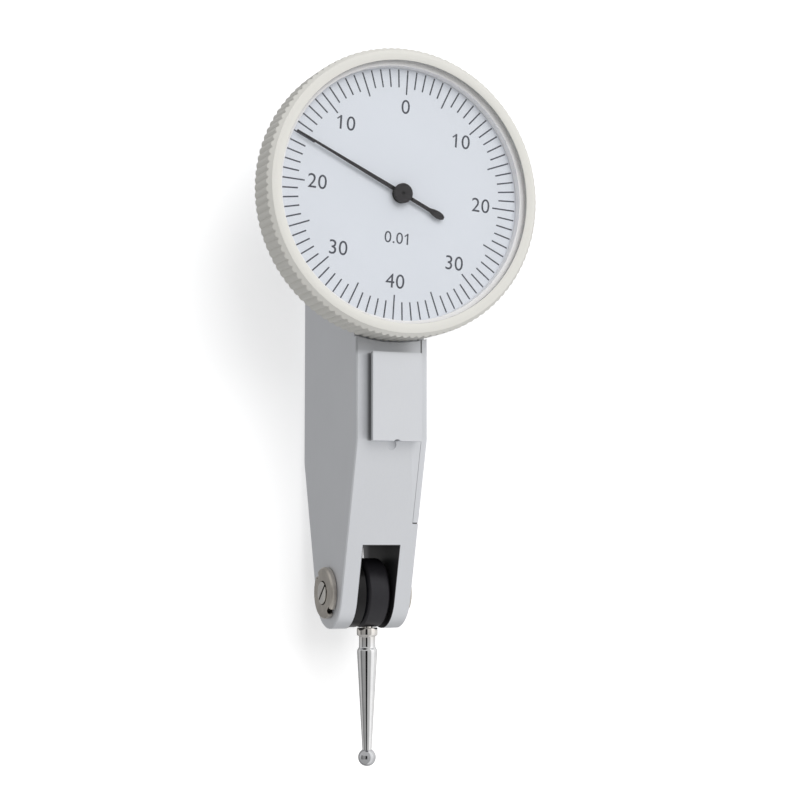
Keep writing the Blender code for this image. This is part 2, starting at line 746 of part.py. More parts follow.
def build_lever(carrier):
    """The contact lever: a disc and sleeve on the pivots, a long arm and a drive pin."""
    bevel = running_gap
    pin_bore = pivot_pin_radius + running_gap
    bore_depth = pivot_pin_reach + side_gap
    profile = [(disc_left + bore_depth, 0), (disc_left + bore_depth, pin_bore), (disc_left, pin_bore),
               (disc_left, disc_radius), (disc_right, disc_radius), (disc_right, sleeve_radius),
               (sleeve_right - bevel, sleeve_radius), (sleeve_right, sleeve_radius - bevel),
               (sleeve_right, pin_bore), (sleeve_right - bore_depth, pin_bore),
               (sleeve_right - bore_depth, 0)]
    lever = turned("contact_lever", "black_oxide", profile, "X", round_steps, carrier=carrier)
    wide, narrow = lever_arm_width / 2, lever_arm_end_width / 2
    arm = [(-wide, sleeve_radius + side_gap), (wide, sleeve_radius + side_gap), (narrow, lever_arm)]
    arm += arc((0, lever_arm), narrow, lever_tip_start, math.pi - lever_tip_start, arc_steps)
    arm.append((-narrow, lever_arm))
    lug = plate("lug_lever_arm", None, arm, "X", disc_left + bevel, disc_right - bevel, carrier)
    combine(lever, lug, "UNION")
    bore(lever, "drive_pin_hole", "X", (0, 0, lever_arm), disc_left - overrun, disc_right + overrun,
         drive_pin_radius + running_gap, tiny_steps, carrier)
    pin = [(disc_left + side_gap, 0), (disc_left + side_gap, drive_pin_radius),
           (disc_right + drive_pin_reach, drive_pin_radius), (disc_right + drive_pin_reach, 0)]
    turned("drive_pin", "steel", pin, "X", tiny_steps, (0, 0, lever_arm), carrier)
    flat = washer_thickness - washer_dish
    washer = [(washer_left, sleeve_radius + running_gap), (washer_left + washer_dish, washer_radius),
              (washer_left + washer_dish + flat, washer_radius),
              (washer_left + flat, sleeve_radius + running_gap)]
    turned("clutch_washer", "spring_steel", washer, "X", round_steps, carrier=carrier)
    return lever


def build_stylus(carrier):
    """The black hub that is held by friction, with the screwed-in stylus and its ball."""
    bore_radius = sleeve_radius + running_gap
    rim = hub_radius - hub_edge
    profile = [(hub_left, bore_radius), (hub_left, rim), (hub_left + hub_edge, hub_radius),
               (hub_right - hub_edge, hub_radius), (hub_right, rim), (hub_right, bore_radius)]
    hub = turned("stylus_hub", "black_oxide", profile, "X", round_steps, carrier=carrier)
    thread_top = -collar_below_pivot + stylus_thread_length
    bore(hub, "stylus_thread", "Z", (hub_middle, 0, 0), thread_top + side_gap, -hub_radius - overrun,
         stylus_thread_radius + running_gap, tiny_steps, carrier)
    collar_end = -collar_below_pivot - collar_length
    waist_end = collar_end - waist_length
    stem_top = waist_end - shoulder_length
    pocket_floor = ball_radius - ball_pocket_depth - ball_below_pivot
    stem = [(thread_top, 0), (thread_top, stylus_thread_radius), (-collar_below_pivot, stylus_thread_radius),
            (-collar_below_pivot, collar_radius), (collar_end, collar_radius), (collar_end, waist_radius),
            (waist_end, waist_radius), (stem_top, shoulder_radius),
            (pocket_floor + running_gap, stem_end_radius), (pocket_floor + running_gap, 0)]
    turned("stylus", "polished_chrome", stem, "Z", small_steps, (hub_middle, 0, 0), carrier)
    pocket = stem_end_radius + running_gap
    brim = math.asin(pocket / ball_radius)
    points = [(pocket_floor, 0), (pocket_floor, pocket)]
    for step in range(ball_steps + 1):
        turn = brim + (math.pi - brim) * step / ball_steps
        points.append((ball_radius * math.cos(turn) - ball_below_pivot, max(0, ball_radius * math.sin(turn))))
    points[-1] = (points[-1][0], 0)
    turned("stylus_ball", "carbide", points, "Z", small_steps, (hub_middle, 0, 0), carrier)


def tooth_ring(pitch_radius, module, teeth, start=0, end=None):
    """Outline of cut teeth about the origin, a tooth centred on the first axis at turn zero."""
    end = teeth if end is None else end
    pitch = 2 * math.pi / teeth
    high = pitch_radius + module * tooth_height_share
    low = pitch_radius - module * (tooth_height_share + tooth_root_share)
    outline = []
    for tooth in range(start, end):
        middle = tooth * pitch
        for share, radius in ((-tooth_root_share, low), (-tooth_tip_share, high),
                              (tooth_tip_share, high), (tooth_root_share, low)):
            turn = middle + share * pitch
            outline.append((radius * math.cos(turn), radius * math.sin(turn)))
    return outline


def turn_points(points, turn):
    """Turn outline points about the origin."""
    cos, sin = math.cos(turn), math.sin(turn)
    return [(first * cos - second * sin, first * sin + second * cos) for first, second in points]


def arbor(name, finish, radius, low, high, carrier):
    """A turned steel arbor with a thin pivot at each end."""
    points = [(low, 0), (low, arbor_pivot_radius), (low + jewel_thickness, arbor_pivot_radius),
              (low + jewel_thickness, radius), (high - jewel_thickness, radius),
              (high - jewel_thickness, arbor_pivot_radius), (high, arbor_pivot_radius), (high, 0)]
    return turned(name, finish, points, "X", tiny_steps, carrier=carrier)


def arbor_ends():
    """The ends of the sector and crown arbors, each inside a jewel."""
    return (cavity_left - arbor_pivot_reach - running_gap, bridge_plane + arbor_pivot_reach + arbor_end_play)


def build_sector(carrier):
    """The sector gear: teeth above, a boss on its arbor, a fork for the drive pin below."""
    pitch = 2 * math.pi / sector_full_teeth
    lead = math.floor(sector_lead_angle / pitch)
    trail = math.floor(sector_trail_angle / pitch)
    teeth = tooth_ring(sector_pitch_radius, train_module, sector_full_teeth, -trail, lead + 1)
    teeth = turn_points(teeth, math.pi / 2)
    low = sector_pitch_radius - 2 * train_module - sector_rim
    start, end = math.pi / 2 - trail * pitch, math.pi / 2 + lead * pitch
    rim = arc((0, 0), low, end, start, arc_steps)
    half = sector_spoke / 2
    left_rim = [point for point in rim if point[0] < -sector_spoke]
    right_rim = [point for point in rim if point[0] > 0]
    boss_right = arc((0, 0), sector_boss_radius, sector_boss_open, -sector_boss_open, arc_steps)
    boss_left = arc((0, 0), sector_boss_radius, math.pi + sector_boss_open, math.pi - sector_boss_open,
                    arc_steps)
    flare = sector_boss_radius * sector_flare_share
    pin_half = drive_pin_radius + running_gap
    tail = sector_arm + fork_reach
    throat = sector_arm - fork_reach
    fork = [(half, -tail), (pin_half, -tail), (pin_half, -throat), (-pin_half, -throat),
            (-pin_half, -tail), (-half, -tail)]
    outline = teeth + left_rim + [(-sector_spoke, low), (-half, flare)]
    outline += list(reversed(boss_left)) + fork[::-1] + list(reversed(boss_right))
    outline += [(half, flare)] + right_rim[-1:]
    plate("sector_gear", "brass", outline, "X", sector_plane, sector_plane + sector_plate, carrier)
    bore(bpy.data.objects["sector_gear"], "sector_arbor_hole", "X", (0, 0, 0), sector_plane - overrun,
         sector_plane + sector_plate + overrun, arbor_radius + running_gap, tiny_steps, carrier)
    arbor("sector_arbor", "steel", arbor_radius, *arbor_ends(), carrier)


def build_crown(carrier):
    """The crown wheel, with its teeth towards the centre pinion, and its pinion arbor."""
    tooth_tip = centre_pitch_radius - crown_module * tooth_height_share
    tooth_root = centre_pitch_radius + crown_module * (tooth_height_share + tooth_root_share)
    outer = crown_pitch_radius + crown_face / 2
    inner = crown_pitch_radius - crown_face / 2
    web = tooth_root + crown_module
    back = web + crown_disc
    hole = arbor_radius + running_gap
    shares = (-tooth_root_share, -tooth_tip_share, tooth_tip_share, tooth_root_share)
    shape = bmesh.new()

    def corner(along, radius, tooth, share):
        turn = 2 * math.pi * (tooth + share) / crown_teeth
        return shape.verts.new((along, -radius * math.cos(turn), radius * math.sin(turn)))

    plain, cut = [], []
    for tooth in range(crown_teeth):
        plain.append([corner(along, radius, tooth, -tooth_gap_share) for along, radius in
                      ((web, inner), (web, hole), (back, hole), (back, outer))])
        cut += [(corner(front, outer, tooth, share), corner(front, inner, tooth, share)) for front, share in
                zip((tooth_root, tooth_tip, tooth_tip, tooth_root), shares)]
    for tooth in range(crown_teeth):
        row, following = plain[tooth], plain[(tooth + 1) % crown_teeth]
        for place in range(len(row) - 1):
            shape.faces.new((row[place], row[place + 1], following[place + 1], following[place]))
        edge = [cut[(len(shares) * tooth + step - 1) % len(cut)] for step in range(len(shares) + 1)]
        shape.faces.new([row[3], following[3]] + [pair[0] for pair in reversed(edge)])
        shape.faces.new([following[0], row[0]] + [pair[1] for pair in edge])
        for first, second in zip(edge, edge[1:]):
            shape.faces.new((first[0], second[0], second[1], first[1]))
    add_object("crown_gear", shape, "brass", carrier, smooth=False)
    outline = turn_points(tooth_ring(pinion_pitch_radius, train_module, pinion_teeth), pinion_phase)
    low = sector_plane + sector_plate / 2 - pinion_length / 2
    plate("crown_pinion", "steel", outline, "X", low, low + pinion_length, carrier)
    bore(bpy.data.objects["crown_pinion"], "crown_pinion_hole", "X", (0, 0, 0), low - overrun,
         low + pinion_length + overrun, arbor_radius + running_gap, tiny_steps, carrier)
    arbor("crown_arbor", "steel", arbor_radius, *arbor_ends(), carrier)


def build_centre(carrier):
    """The centre arbor with its pinion, the pointer, its boss and the hairspring collet."""
    middle = carrier.matrix_world.translation
    mesh_y = train_y - crown_pitch_radius
    pinion_front = mesh_y - centre_pinion_length / 2
    pinion_back = mesh_y + centre_pinion_length / 2
    pivot_start = pinion_back + side_gap
    needle_back = dial_front - pointer_above_dial
    needle_front = needle_back - pointer_thickness
    cap_back = needle_front - running_gap
    cap_front = cap_back - boss_height
    tip = cap_front + boss_dimple
    low = centre_arbor_radius
    pivot_end = cock_back() - cock_thickness + jewel_thickness
    shaft = [(tip, 0), (tip, low), (pivot_start, low), (pivot_start, arbor_pivot_radius),
             (pivot_end, arbor_pivot_radius), (pivot_end, 0)]
    turned("centre_arbor", "steel", [(along - middle.y, radius) for along, radius in shaft],
           "Y", tiny_steps, carrier=carrier)
    outline = turn_points(tooth_ring(centre_pitch_radius, crown_module, centre_teeth), centre_phase)
    start, end = pinion_front - middle.y, pinion_back - middle.y
    pinion = plate("centre_pinion", "steel", outline, "Y", start, end, carrier)
    bore(pinion, "centre_pinion_hole", "Y", (0, 0, 0), start - overrun, end + overrun,
         low + running_gap, tiny_steps, carrier)

    bush = boss_bush_radius
    hole = low + running_gap
    cap = [(cap_front + boss_dimple / 2, 0), (cap_front, boss_dimple), (cap_front, boss_radius - running_gap),
           (cap_front + running_gap, boss_radius), (cap_back, boss_radius), (cap_back, bush),
           (needle_back + running_gap, bush), (needle_back + running_gap, boss_flange_radius),
           (dial_front - side_gap, boss_flange_radius), (dial_front - side_gap, hole),
           (tip - running_gap, hole), (tip - running_gap, 0)]
    turned("pointer_boss", "black_paint", [(along - middle.y, radius) for along, radius in cap],
           "Y", small_steps, carrier=carrier)
    ring = boss_bush_radius + running_gap
    collar = (ring + boss_radius) / 2
    cut = collar * math.tan(math.pi / 8)
    root, end, waist, leaf = (width / 2 for width in (pointer_root_width, pointer_tip_width,
                                                      pointer_waist_width, pointer_leaf_width))
    right = [(end, pointer_reach), (root, collar), (cut, collar), (collar, cut), (collar, -cut),
             (cut, -collar), (waist, -collar)]
    right += [(leaf * wide, -pointer_tail * share) for share, wide in leaf_shares]
    needle = right + [(-across, rise) for across, rise in reversed(right)]
    needle = turn_points(needle, -pointer_angle)
    start, end = needle_front - middle.y, needle_back - middle.y
    pointer = plate("pointer", "black_paint", needle, "Y", start, end, carrier)
    bore(pointer, "pointer_hole", "Y", (0, 0, 0), start - overrun, end + overrun, ring, tiny_steps, carrier)

    spring_y = case_floor - hairspring_above_plate
    low_y, high_y = spring_y - hairspring_width, spring_y + hairspring_width
    turned("hairspring_collet", "brass", [(low_y - middle.y, hole), (low_y - middle.y, collet_radius),
                                          (high_y - middle.y, collet_radius), (high_y - middle.y, hole)],
           "Y", tiny_steps, carrier=carrier)


def build_hairspring():
    """A flat spiral spring from the collet out to a stud on the case floor."""
    spring_y = case_floor - hairspring_above_plate
    low_y, high_y = spring_y - hairspring_width / 2, spring_y + hairspring_width / 2
    count = hairspring_turns * hairspring_steps
    half = hairspring_thickness / 2
    shape = bmesh.new()
    rows = []
    for step in range(count + 1):
        turn = 2 * math.pi * step / hairspring_steps
        radius = hairspring_inner_radius + (hairspring_outer_radius - hairspring_inner_radius) * step / count
        row = []
        for out, along in ((-half, low_y), (half, low_y), (half, high_y), (-half, high_y)):
            row.append(shape.verts.new(((radius + out) * math.cos(turn), along,
                                        dial_z + (radius + out) * math.sin(turn))))
        rows.append(row)
    for row, following in zip(rows, rows[1:]):
        for side in range(wire_sides):
            after = (side + 1) % wire_sides
            shape.faces.new((row[side], row[after], following[after], following[side]))
    shape.faces.new(rows[0])
    shape.faces.new(rows[-1])
    add_object("hairspring", shape, "spring_steel")
    stud_low = hairspring_outer_radius + half + running_gap
    outline = rectangle(stud_low, stud_low + stud_size, dial_z - stud_size / 2, dial_z + stud_size / 2)
    plate("hairspring_stud", "brass", outline, "Y", low_y - running_gap, case_floor - seat_gap)


def cock_back():
    """The y of the centre cock's rear face."""
    pinion_back = train_y - crown_pitch_radius + centre_pinion_length / 2
    return pinion_back + 2 * side_gap + cock_thickness + running_gap


def build_cock():
    """The centre cock on the left wall, which holds the rear jewel of the centre arbor."""
    back = cock_back()
    front = back - cock_thickness
    left = cavity_left + seat_gap
    reach = jewel_radius + running_gap + arbor_pivot_radius
    half = cock_height / 2
    arm = rectangle(left, reach, dial_z - half, dial_z + half)
    cock = plate("centre_cock", "brass", arm, "Y", front, back)
    middle = (front + back) / 2
    foot = rectangle(middle - cock_foot_width / 2, middle + cock_foot_width / 2,
                     dial_z + half - overrun / 2, dial_z + cock_foot_rise)
    combine(cock, plate("lug_cock_foot", None, foot, "X", left - running_gap / 2, left + cock_foot), "UNION")
    seat_depth = jewel_thickness + seat_gap + end_stone_thickness + running_gap
    bore(cock, "rear_jewel_seat", "Y", (0, 0, dial_z), front - overrun, front + seat_depth,
         jewel_radius + running_gap)
    place = (0, middle, dial_z + cock_foot_rise - cock_foot_width / 2)
    bore(cock, "cock_screw_hole", "X", place, left - overrun, left + cock_foot + overrun,
         cover_screw_shank_radius + running_gap, tiny_steps)
    frame = bpy.data.objects["frame"]
    thread_end = cavity_left - left_wall / 2
    bore(frame, "cock_screw_seat", "X", place, thread_end - running_gap, cavity_left + overrun,
         cover_screw_shank_radius + running_gap, tiny_steps)
    head = left + cock_foot + seat_gap
    face = head + bridge_screw_head
    profile = [(thread_end, 0), (thread_end, cover_screw_shank_radius), (head, cover_screw_shank_radius),
               (head, cock_screw_radius), (face, cock_screw_radius), (face, 0)]
    turned("cock_screw", "steel", profile, "X", tiny_steps, place)


def build_bridge():
    """The movement bridge on two posts, which holds the right-hand jewels."""
    middle = train_y
    wide = post_spread + post_radius
    half = bridge_half_width
    post_z = sector_rise + bridge_shoulder_rise
    outline = [(middle - wide, post_z - half), (middle - half, sector_rise - half),
               (middle + half, sector_rise - half), (middle + wide, post_z - half),
               (middle + wide, post_z + half), (middle + half, dial_z + half),
               (middle - half, dial_z + half), (middle - wide, post_z + half)]
    bridge = plate("movement_bridge", "brass", outline, "X", bridge_plane, bridge_plane + bridge_thickness)
    for name, rise in (("crown", dial_z), ("sector", sector_rise)):
        bore(bridge, name + "_bridge_seat", "X", (0, train_y, rise), bridge_plane - overrun,
             bridge_plane + bridge_thickness + overrun, jewel_radius + running_gap)
    post_low = cavity_left + seat_gap
    post_high = bridge_plane - seat_gap
    for number, side in enumerate((-1, 1), 1):
        place = (0, middle + side * post_spread, post_z)
        bore(bridge, "post_clearance_%d" % number, "X", place, bridge_plane - overrun,
             bridge_plane + bridge_thickness + overrun, post_hole_radius + running_gap, tiny_steps)
        depth = post_high - 2 * bridge_thickness
        bottom = depth - side_gap
        hole = post_hole_radius + running_gap
        post = [(post_low, 0), (post_low, post_radius), (post_high, post_radius),
                (post_high, hole), (bottom, hole), (bottom, 0)]
        turned("bridge_post_%d" % number, "brass", post, "X", tiny_steps, place)
        head = bridge_plane + bridge_thickness + seat_gap
        face = head + bridge_screw_head
        screw = [(depth, 0), (depth, post_hole_radius), (head, post_hole_radius), (head, post_radius),
                 (face, post_radius), (face, 0)]
        turned("bridge_screw_%d" % number, "steel", screw, "X", tiny_steps, place)


def build_jewels():
    """Seven ruby bearings: two each for sector, crown and centre arbors, and one end stone."""
    hole = arbor_pivot_radius + running_gap
    left = cavity_left - jewel_thickness
    for name, rise in (("crown", dial_z), ("sector", sector_rise)):
        for side, start in (("left", left), ("right", bridge_plane)):
            profile = [(start, hole), (start, jewel_radius), (start + jewel_thickness, jewel_radius),
                       (start + jewel_thickness, hole)]
            turned("%s_jewel_%s" % (name, side), "ruby", profile, "X", tiny_steps, (0, train_y, rise))
    front = seat_face + seat_gap
    rear = cock_back() - cock_thickness
    shaft = centre_arbor_radius + running_gap
    for name, start, inner in (("front", front, shaft), ("rear", rear, hole)):
        profile = [(start, inner), (start, jewel_radius), (start + jewel_thickness, jewel_radius),
                   (start + jewel_thickness, inner)]
        turned("centre_jewel_" + name, "ruby", profile, "Y", tiny_steps, (0, 0, dial_z))
    stone = rear + jewel_thickness + seat_gap
    stone_back = stone + end_stone_thickness
    profile = [(stone, 0), (stone, jewel_radius), (stone_back, jewel_radius), (stone_back, 0)]
    turned("centre_end_stone", "ruby", profile, "Y", tiny_steps, (0, 0, dial_z))


build_frame()
build_cover()
build_case()
build_pivots()
build_bridge()
build_cock()
build_jewels()
build_hairspring()
lever_axis = axis_empty("lever_axis", (0, pivot_y, pivot_z))
build_lever(lever_axis)
build_stylus(lever_axis)
build_sector(axis_empty("sector_axis", (0, train_y, sector_rise)))
build_crown(axis_empty("crown_axis", (0, train_y, dial_z)))
build_centre(axis_empty("centre_axis", (0, 0, dial_z)))
build_bezel(axis_empty("bezel_axis", (0, bezel_back, dial_z)))
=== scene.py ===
import math

import bmesh
import bpy
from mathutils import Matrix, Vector


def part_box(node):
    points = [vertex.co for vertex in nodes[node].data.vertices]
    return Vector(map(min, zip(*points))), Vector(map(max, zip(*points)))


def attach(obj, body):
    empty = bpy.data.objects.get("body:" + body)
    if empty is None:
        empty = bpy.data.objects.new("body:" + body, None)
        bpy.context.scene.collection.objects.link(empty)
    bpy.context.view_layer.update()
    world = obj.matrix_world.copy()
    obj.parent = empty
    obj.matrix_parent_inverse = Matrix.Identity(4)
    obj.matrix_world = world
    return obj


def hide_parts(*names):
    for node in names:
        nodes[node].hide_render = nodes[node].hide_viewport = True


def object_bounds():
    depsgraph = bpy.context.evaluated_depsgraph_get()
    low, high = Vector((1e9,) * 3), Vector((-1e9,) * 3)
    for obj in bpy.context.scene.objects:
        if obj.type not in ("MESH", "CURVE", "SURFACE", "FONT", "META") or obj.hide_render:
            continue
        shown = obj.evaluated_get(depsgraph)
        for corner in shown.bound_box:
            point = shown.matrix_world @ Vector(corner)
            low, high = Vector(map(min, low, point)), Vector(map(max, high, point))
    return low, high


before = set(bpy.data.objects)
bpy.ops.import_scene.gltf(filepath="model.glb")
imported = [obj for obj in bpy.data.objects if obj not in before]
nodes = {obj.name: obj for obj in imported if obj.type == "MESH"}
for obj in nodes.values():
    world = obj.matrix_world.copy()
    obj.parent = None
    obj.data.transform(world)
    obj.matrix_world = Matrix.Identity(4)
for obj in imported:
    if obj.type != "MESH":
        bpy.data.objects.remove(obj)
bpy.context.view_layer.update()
mm = 0.001


# The body: one slim steel block with its dovetails and the fork for the stylus, milled, ground on
# its faces, and plated in satin chrome. Shade is painted into it in the undercuts and under the head,
# and inside the fork, where painted highlights lighten the front edges and the rear of the roof.
class Wire:
    """A value in a material. Sums written with it add Math nodes."""

    def __init__(self, paint, socket):
        self.paint = paint
        self.socket = socket

    def maths(self, operation, *values):
        return self.paint.node("ShaderNodeMath", {"operation": operation}, dict(enumerate(values)))

    def __add__(self, other):
        return self.maths("ADD", self, other)

    def __radd__(self, other):
        return self.maths("ADD", other, self)

    def __sub__(self, other):
        return self.maths("SUBTRACT", self, other)

    def __rsub__(self, other):
        return self.maths("SUBTRACT", other, self)

    def __mul__(self, other):
        return self.maths("MULTIPLY", self, other)

    def __rmul__(self, other):
        return self.maths("MULTIPLY", other, self)

    def __pow__(self, other):
        return self.maths("POWER", self, other)

    def __abs__(self):
        return self.maths("ABSOLUTE", self)

    def step(self, start, end):
        """0 below start and 1 above end, smooth between."""
        settings = {"interpolation_type": "SMOOTHSTEP"}
        values = {"Value": self, "From Min": start, "From Max": end}
        return self.paint.node("ShaderNodeMapRange", settings, values)

    def between(self, start, end, edge):
        """1 from start to end and 0 outside, smooth over the edge's width."""
        return self.step(start - edge, start + edge) * (1 - self.step(end - edge, end + edge))


class Paint:
    """A finish: its material, its Principled shader, and the one way to add a node."""

    def __init__(self, name, fixed, world=None):
        self.material = world or bpy.data.materials.new(name)
        self.material.use_nodes = True
        self.tree = self.material.node_tree
        self.shader = self.tree.nodes.get("Principled BSDF")
        for socket, value in fixed.items():
            self.shader.inputs[socket].default_value = value

    def node(self, kind, settings=None, values=None, output=0):
        """A node with its settings and its values or links. It gives one output, or all by name."""
        made = self.tree.nodes.new(kind)
        for key, value in (settings or {}).items():
            setattr(made, key, value)
        for key, value in (values or {}).items():
            if isinstance(value, Wire):
                self.tree.links.new(value.socket, made.inputs[key])
            else:
                made.inputs[key].default_value = value
        if output == "all":
            return {socket.name: Wire(self, socket) for socket in made.outputs}
        return Wire(self, made.outputs[output])

    def place(self, scale=(1, 1, 1), move=(0, 0, 0)):
        """Object coordinates, stretched and moved by a Mapping node."""
        where = self.node("ShaderNodeTexCoord", output="Object")
        return self.node("ShaderNodeMapping", {}, {"Vector": where, "Location": move, "Scale": scale})

    def axes(self, where=None):
        """The three coordinates as separate values."""
        split = self.node("ShaderNodeSeparateXYZ", {}, {"Vector": where or self.place()}, "all")
        return split["X"], split["Y"], split["Z"]

    def grain(self, scale, detail, where=None):
        """Noise whose grains are 1 / scale metres wide."""
        values = {"Vector": where or self.place(), "Scale": scale, "Detail": detail, "Roughness": 0.55}
        return self.node("ShaderNodeTexNoise", {}, values)

    def blend(self, share, first, second):
        """One colour passing into another."""
        return self.node("ShaderNodeMix", {"data_type": "RGBA"}, {0: share, 6: first, 7: second}, 2)

    def join(self, share, first, second):
        """One shader passing into another."""
        return self.node("ShaderNodeMixShader", {}, {0: share, 1: first, 2: second})

    def feed(self, socket, wire):
        self.tree.links.new(wire.socket, self.shader.inputs[socket])

    def emboss(self, height, distance, strength):
        """The surface relief: height from 0 to 1 over a distance in metres."""
        values = {"Height": height, "Distance": distance, "Strength": strength}
        self.feed("Normal", self.node("ShaderNodeBump", {}, values))

    def show(self, wire):
        """The shader that the surface, or the world, ends in."""
        ends = {"ShaderNodeOutputMaterial", "ShaderNodeOutputWorld"}
        last = next(node for node in self.tree.nodes if node.bl_idname in ends)
        self.tree.links.new(wire.socket, last.inputs["Surface"])


def tint(red, green, blue):
    return (red, green, blue, 1.0)


def shade(colour, share):
    """The same colour, lighter or darker."""
    return tint(*(min(1.0, share * part) for part in colour))


def edit(piece):
    """The piece alone is selected, active and in edit mode."""
    if bpy.context.object and bpy.context.object.mode == "EDIT":
        bpy.ops.object.mode_set(mode="OBJECT")
    bpy.ops.object.select_all(action="DESELECT")
    piece.select_set(True)
    bpy.context.view_layer.objects.active = piece
    bpy.ops.object.mode_set(mode="EDIT")


def pick(kind, test):
    """In edit mode, only the vertices, edges or faces that pass the test are selected."""
    bpy.ops.mesh.select_mode(type=kind)
    bpy.ops.mesh.select_all(action="DESELECT")
    mesh = bmesh.from_edit_mesh(bpy.context.object.data)
    for part in {"VERT": mesh.verts, "EDGE": mesh.edges, "FACE": mesh.faces}[kind]:
        if test(part):
            part.select_set(True)
    mesh.select_flush_mode()
    bmesh.update_edit_mesh(bpy.context.object.data)


def finish(piece, width=0.0, segments=2, angle=32.0, keep=lambda edge: False):
    """Sharp edges are rounded, but for those to keep. Curved faces are smooth and flat ones flat."""
    limit = math.radians(angle)
    if width:
        pick("EDGE", lambda edge: edge.calc_face_angle(0) > limit and not keep(edge))
        bpy.ops.mesh.bevel(offset=width, segments=segments, affect="EDGES", clamp_overlap=True)
    bpy.ops.object.mode_set(mode="OBJECT")
    bpy.ops.object.transform_apply(location=True, rotation=True, scale=True)
    bpy.ops.object.shade_smooth_by_angle(angle=limit)
    modifier = piece.modifiers.new("even_faces", "WEIGHTED_NORMAL")
    modifier.keep_sharp = True
    modifier.weight = 80
    bpy.ops.object.modifier_apply(modifier=modifier.name)


def place_piece(piece, carrier, slot, paint, *replaced):
    """The piece gets its finish, moves with its carrier, and stands for the CAD nodes named."""
    piece.data.materials.clear()
    piece.data.materials.append(paint.material)
    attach(piece, carrier)
    if replaced:
        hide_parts(*replaced)


def merged_copy(node, name):
    """A copy of a CAD node in edit mode, merged and with its flat faces whole again."""
    piece = bpy.data.objects.new(name, nodes[node].data.copy())
    bpy.context.scene.collection.objects.link(piece)
    edit(piece)
    bpy.ops.mesh.customdata_custom_splitnormals_clear()
    bpy.ops.mesh.select_all(action="SELECT")
    bpy.ops.mesh.remove_doubles(threshold=0.0005 * mm)
    bpy.ops.mesh.dissolve_limited(angle_limit=math.radians(0.5))
    return piece


cover_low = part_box("side_cover")[0]
# Where the body's painted shade, its painted highlights and its dark seam begin and end: each (start, end),
# and the width of its edge where that is given.
fork_wall = (2.24 * mm, 2.28 * mm)
fork_roof = (-16.20 * mm, -16.16 * mm)
fork_front_edge = (4.5 * mm, 9.0 * mm)
fork_rear_edge = (13.4 * mm, 15.2 * mm)
dovetail_side = (2.70 * mm, 3.15 * mm)
dovetail_end = (4.78 * mm, 4.86 * mm)
dovetail_depth = (0.25 * mm, 1.70 * mm, 0.10 * mm)
front_face = (1.8 * mm, 2.0 * mm)
head_edge = (4.5 * mm, 5.3 * mm)
head_dark_side = (0.5 * mm, 3.2 * mm)
seam_width = (cover_low.x - 0.10 * mm, cover_low.x + 0.08 * mm, 0.02 * mm)
seam_depth = (2.2 * mm, 2.6 * mm)
seam_start = (4.70 * mm, 4.95 * mm)


def satin_chrome(name, fork=False, foot=None):
    """Matt satin chrome plate, which scatters half its light: an even grain, a faint cloudiness, a dark seam
    line, and on the body painted shade and highlights.
    """
    colour = (0.745, 0.76, 0.79)
    paint = Paint(name, {"Metallic": 0.5, "IOR": 1.45})
    drawn = paint.grain(1.0, 2.0, where=paint.place(scale=(6500, 6500, 900)))
    cloud = paint.grain(150, 2.0)
    speck = paint.grain(11000, 2.0)
    chrome = paint.blend(0.5 * cloud + 0.3 * drawn + 0.2 * speck, shade(colour, 0.93), shade(colour, 1.05))
    rough = 0.38 + 0.05 * cloud + 0.06 * drawn
    across, back, height = paint.axes()
    if fork:
        # Painted shade inside the fork, with painted highlights near its front edges and at the rear of its
        # roof.
        painted_fork_shade_and_highlight = paint.blend(speck.step(0.35, 0.7), tint(0.005, 0.005, 0.006), tint(0.012, 0.012, 0.014))
        painted_fork_shade_and_highlight = paint.blend(1 - back.step(*fork_front_edge), painted_fork_shade_and_highlight, tint(0.075, 0.075, 0.080))
        painted_fork_shade_and_highlight = paint.blend(back.step(*fork_rear_edge), painted_fork_shade_and_highlight, tint(0.20, 0.20, 0.21))
        inside = (1 - abs(across).step(*fork_wall)) * (1 - height.step(*fork_roof))
        chrome = paint.blend(inside, chrome, painted_fork_shade_and_highlight)
        # Painted shade in the undercuts beside the dovetail.
        painted_undercut_shade = (1 - abs(across).step(*dovetail_side)) * (1 - abs(height).step(*dovetail_end))
        painted_undercut_shade = painted_undercut_shade * back.between(*dovetail_depth)
        chrome = paint.blend(0.75 * painted_undercut_shade, chrome, shade(colour, 0.22))
        # Painted shade on the front face under the head, darker at the left.
        painted_head_shade = height.step(*head_edge) * (1 - back.step(*front_face))
        painted_head_shade = painted_head_shade * (1 - 0.75 * across.step(*head_dark_side))
        chrome = paint.blend(0.55 * painted_head_shade, chrome, shade(colour, 0.30))
    seam = across.between(*seam_width) * (1 - back.step(*seam_depth)) * height.step(*seam_start)
    chrome = paint.blend(0.8 * seam, chrome, tint(0.10, 0.10, 0.105))
    if foot:
        chrome = paint.blend(1 - height.step(*foot), chrome, tint(0.05, 0.05, 0.052))
    paint.feed("Base Color", chrome)
    paint.feed("Roughness", rough)
    paint.emboss(0.5 * drawn + 0.5 * speck, 0.003 * mm, 0.5)
    return paint


def on_seam(edge):
    """An edge of the side cover's seam on the front."""
    middle = (edge.verts[0].co + edge.verts[1].co) / 2
    beside = abs(middle.x - cover_low.x) < 0.15 * mm
    return beside and middle.y < 8.0 * mm and middle.z > cover_low.z - 0.6 * mm


def on_hole_floor(vertex):
    """The floor of the small drilled hole at the dovetail's foot, found by its place in mm."""
    place = vertex.co / mm
    return abs(place.x) < 0.6 and 2.35 < place.y < 2.45 and -5.9 < place.z < -4.0


hole_raised = 0.55 * mm
body = merged_copy("frame", "body")
pick("VERT", on_hole_floor)
bpy.ops.transform.translate(value=(0, -hole_raised, 0))
finish(body, 0.10 * mm, 3, keep=on_seam)
place_piece(body, "root", "body_chrome", satin_chrome("satin_chrome_body", fork=True), "frame")


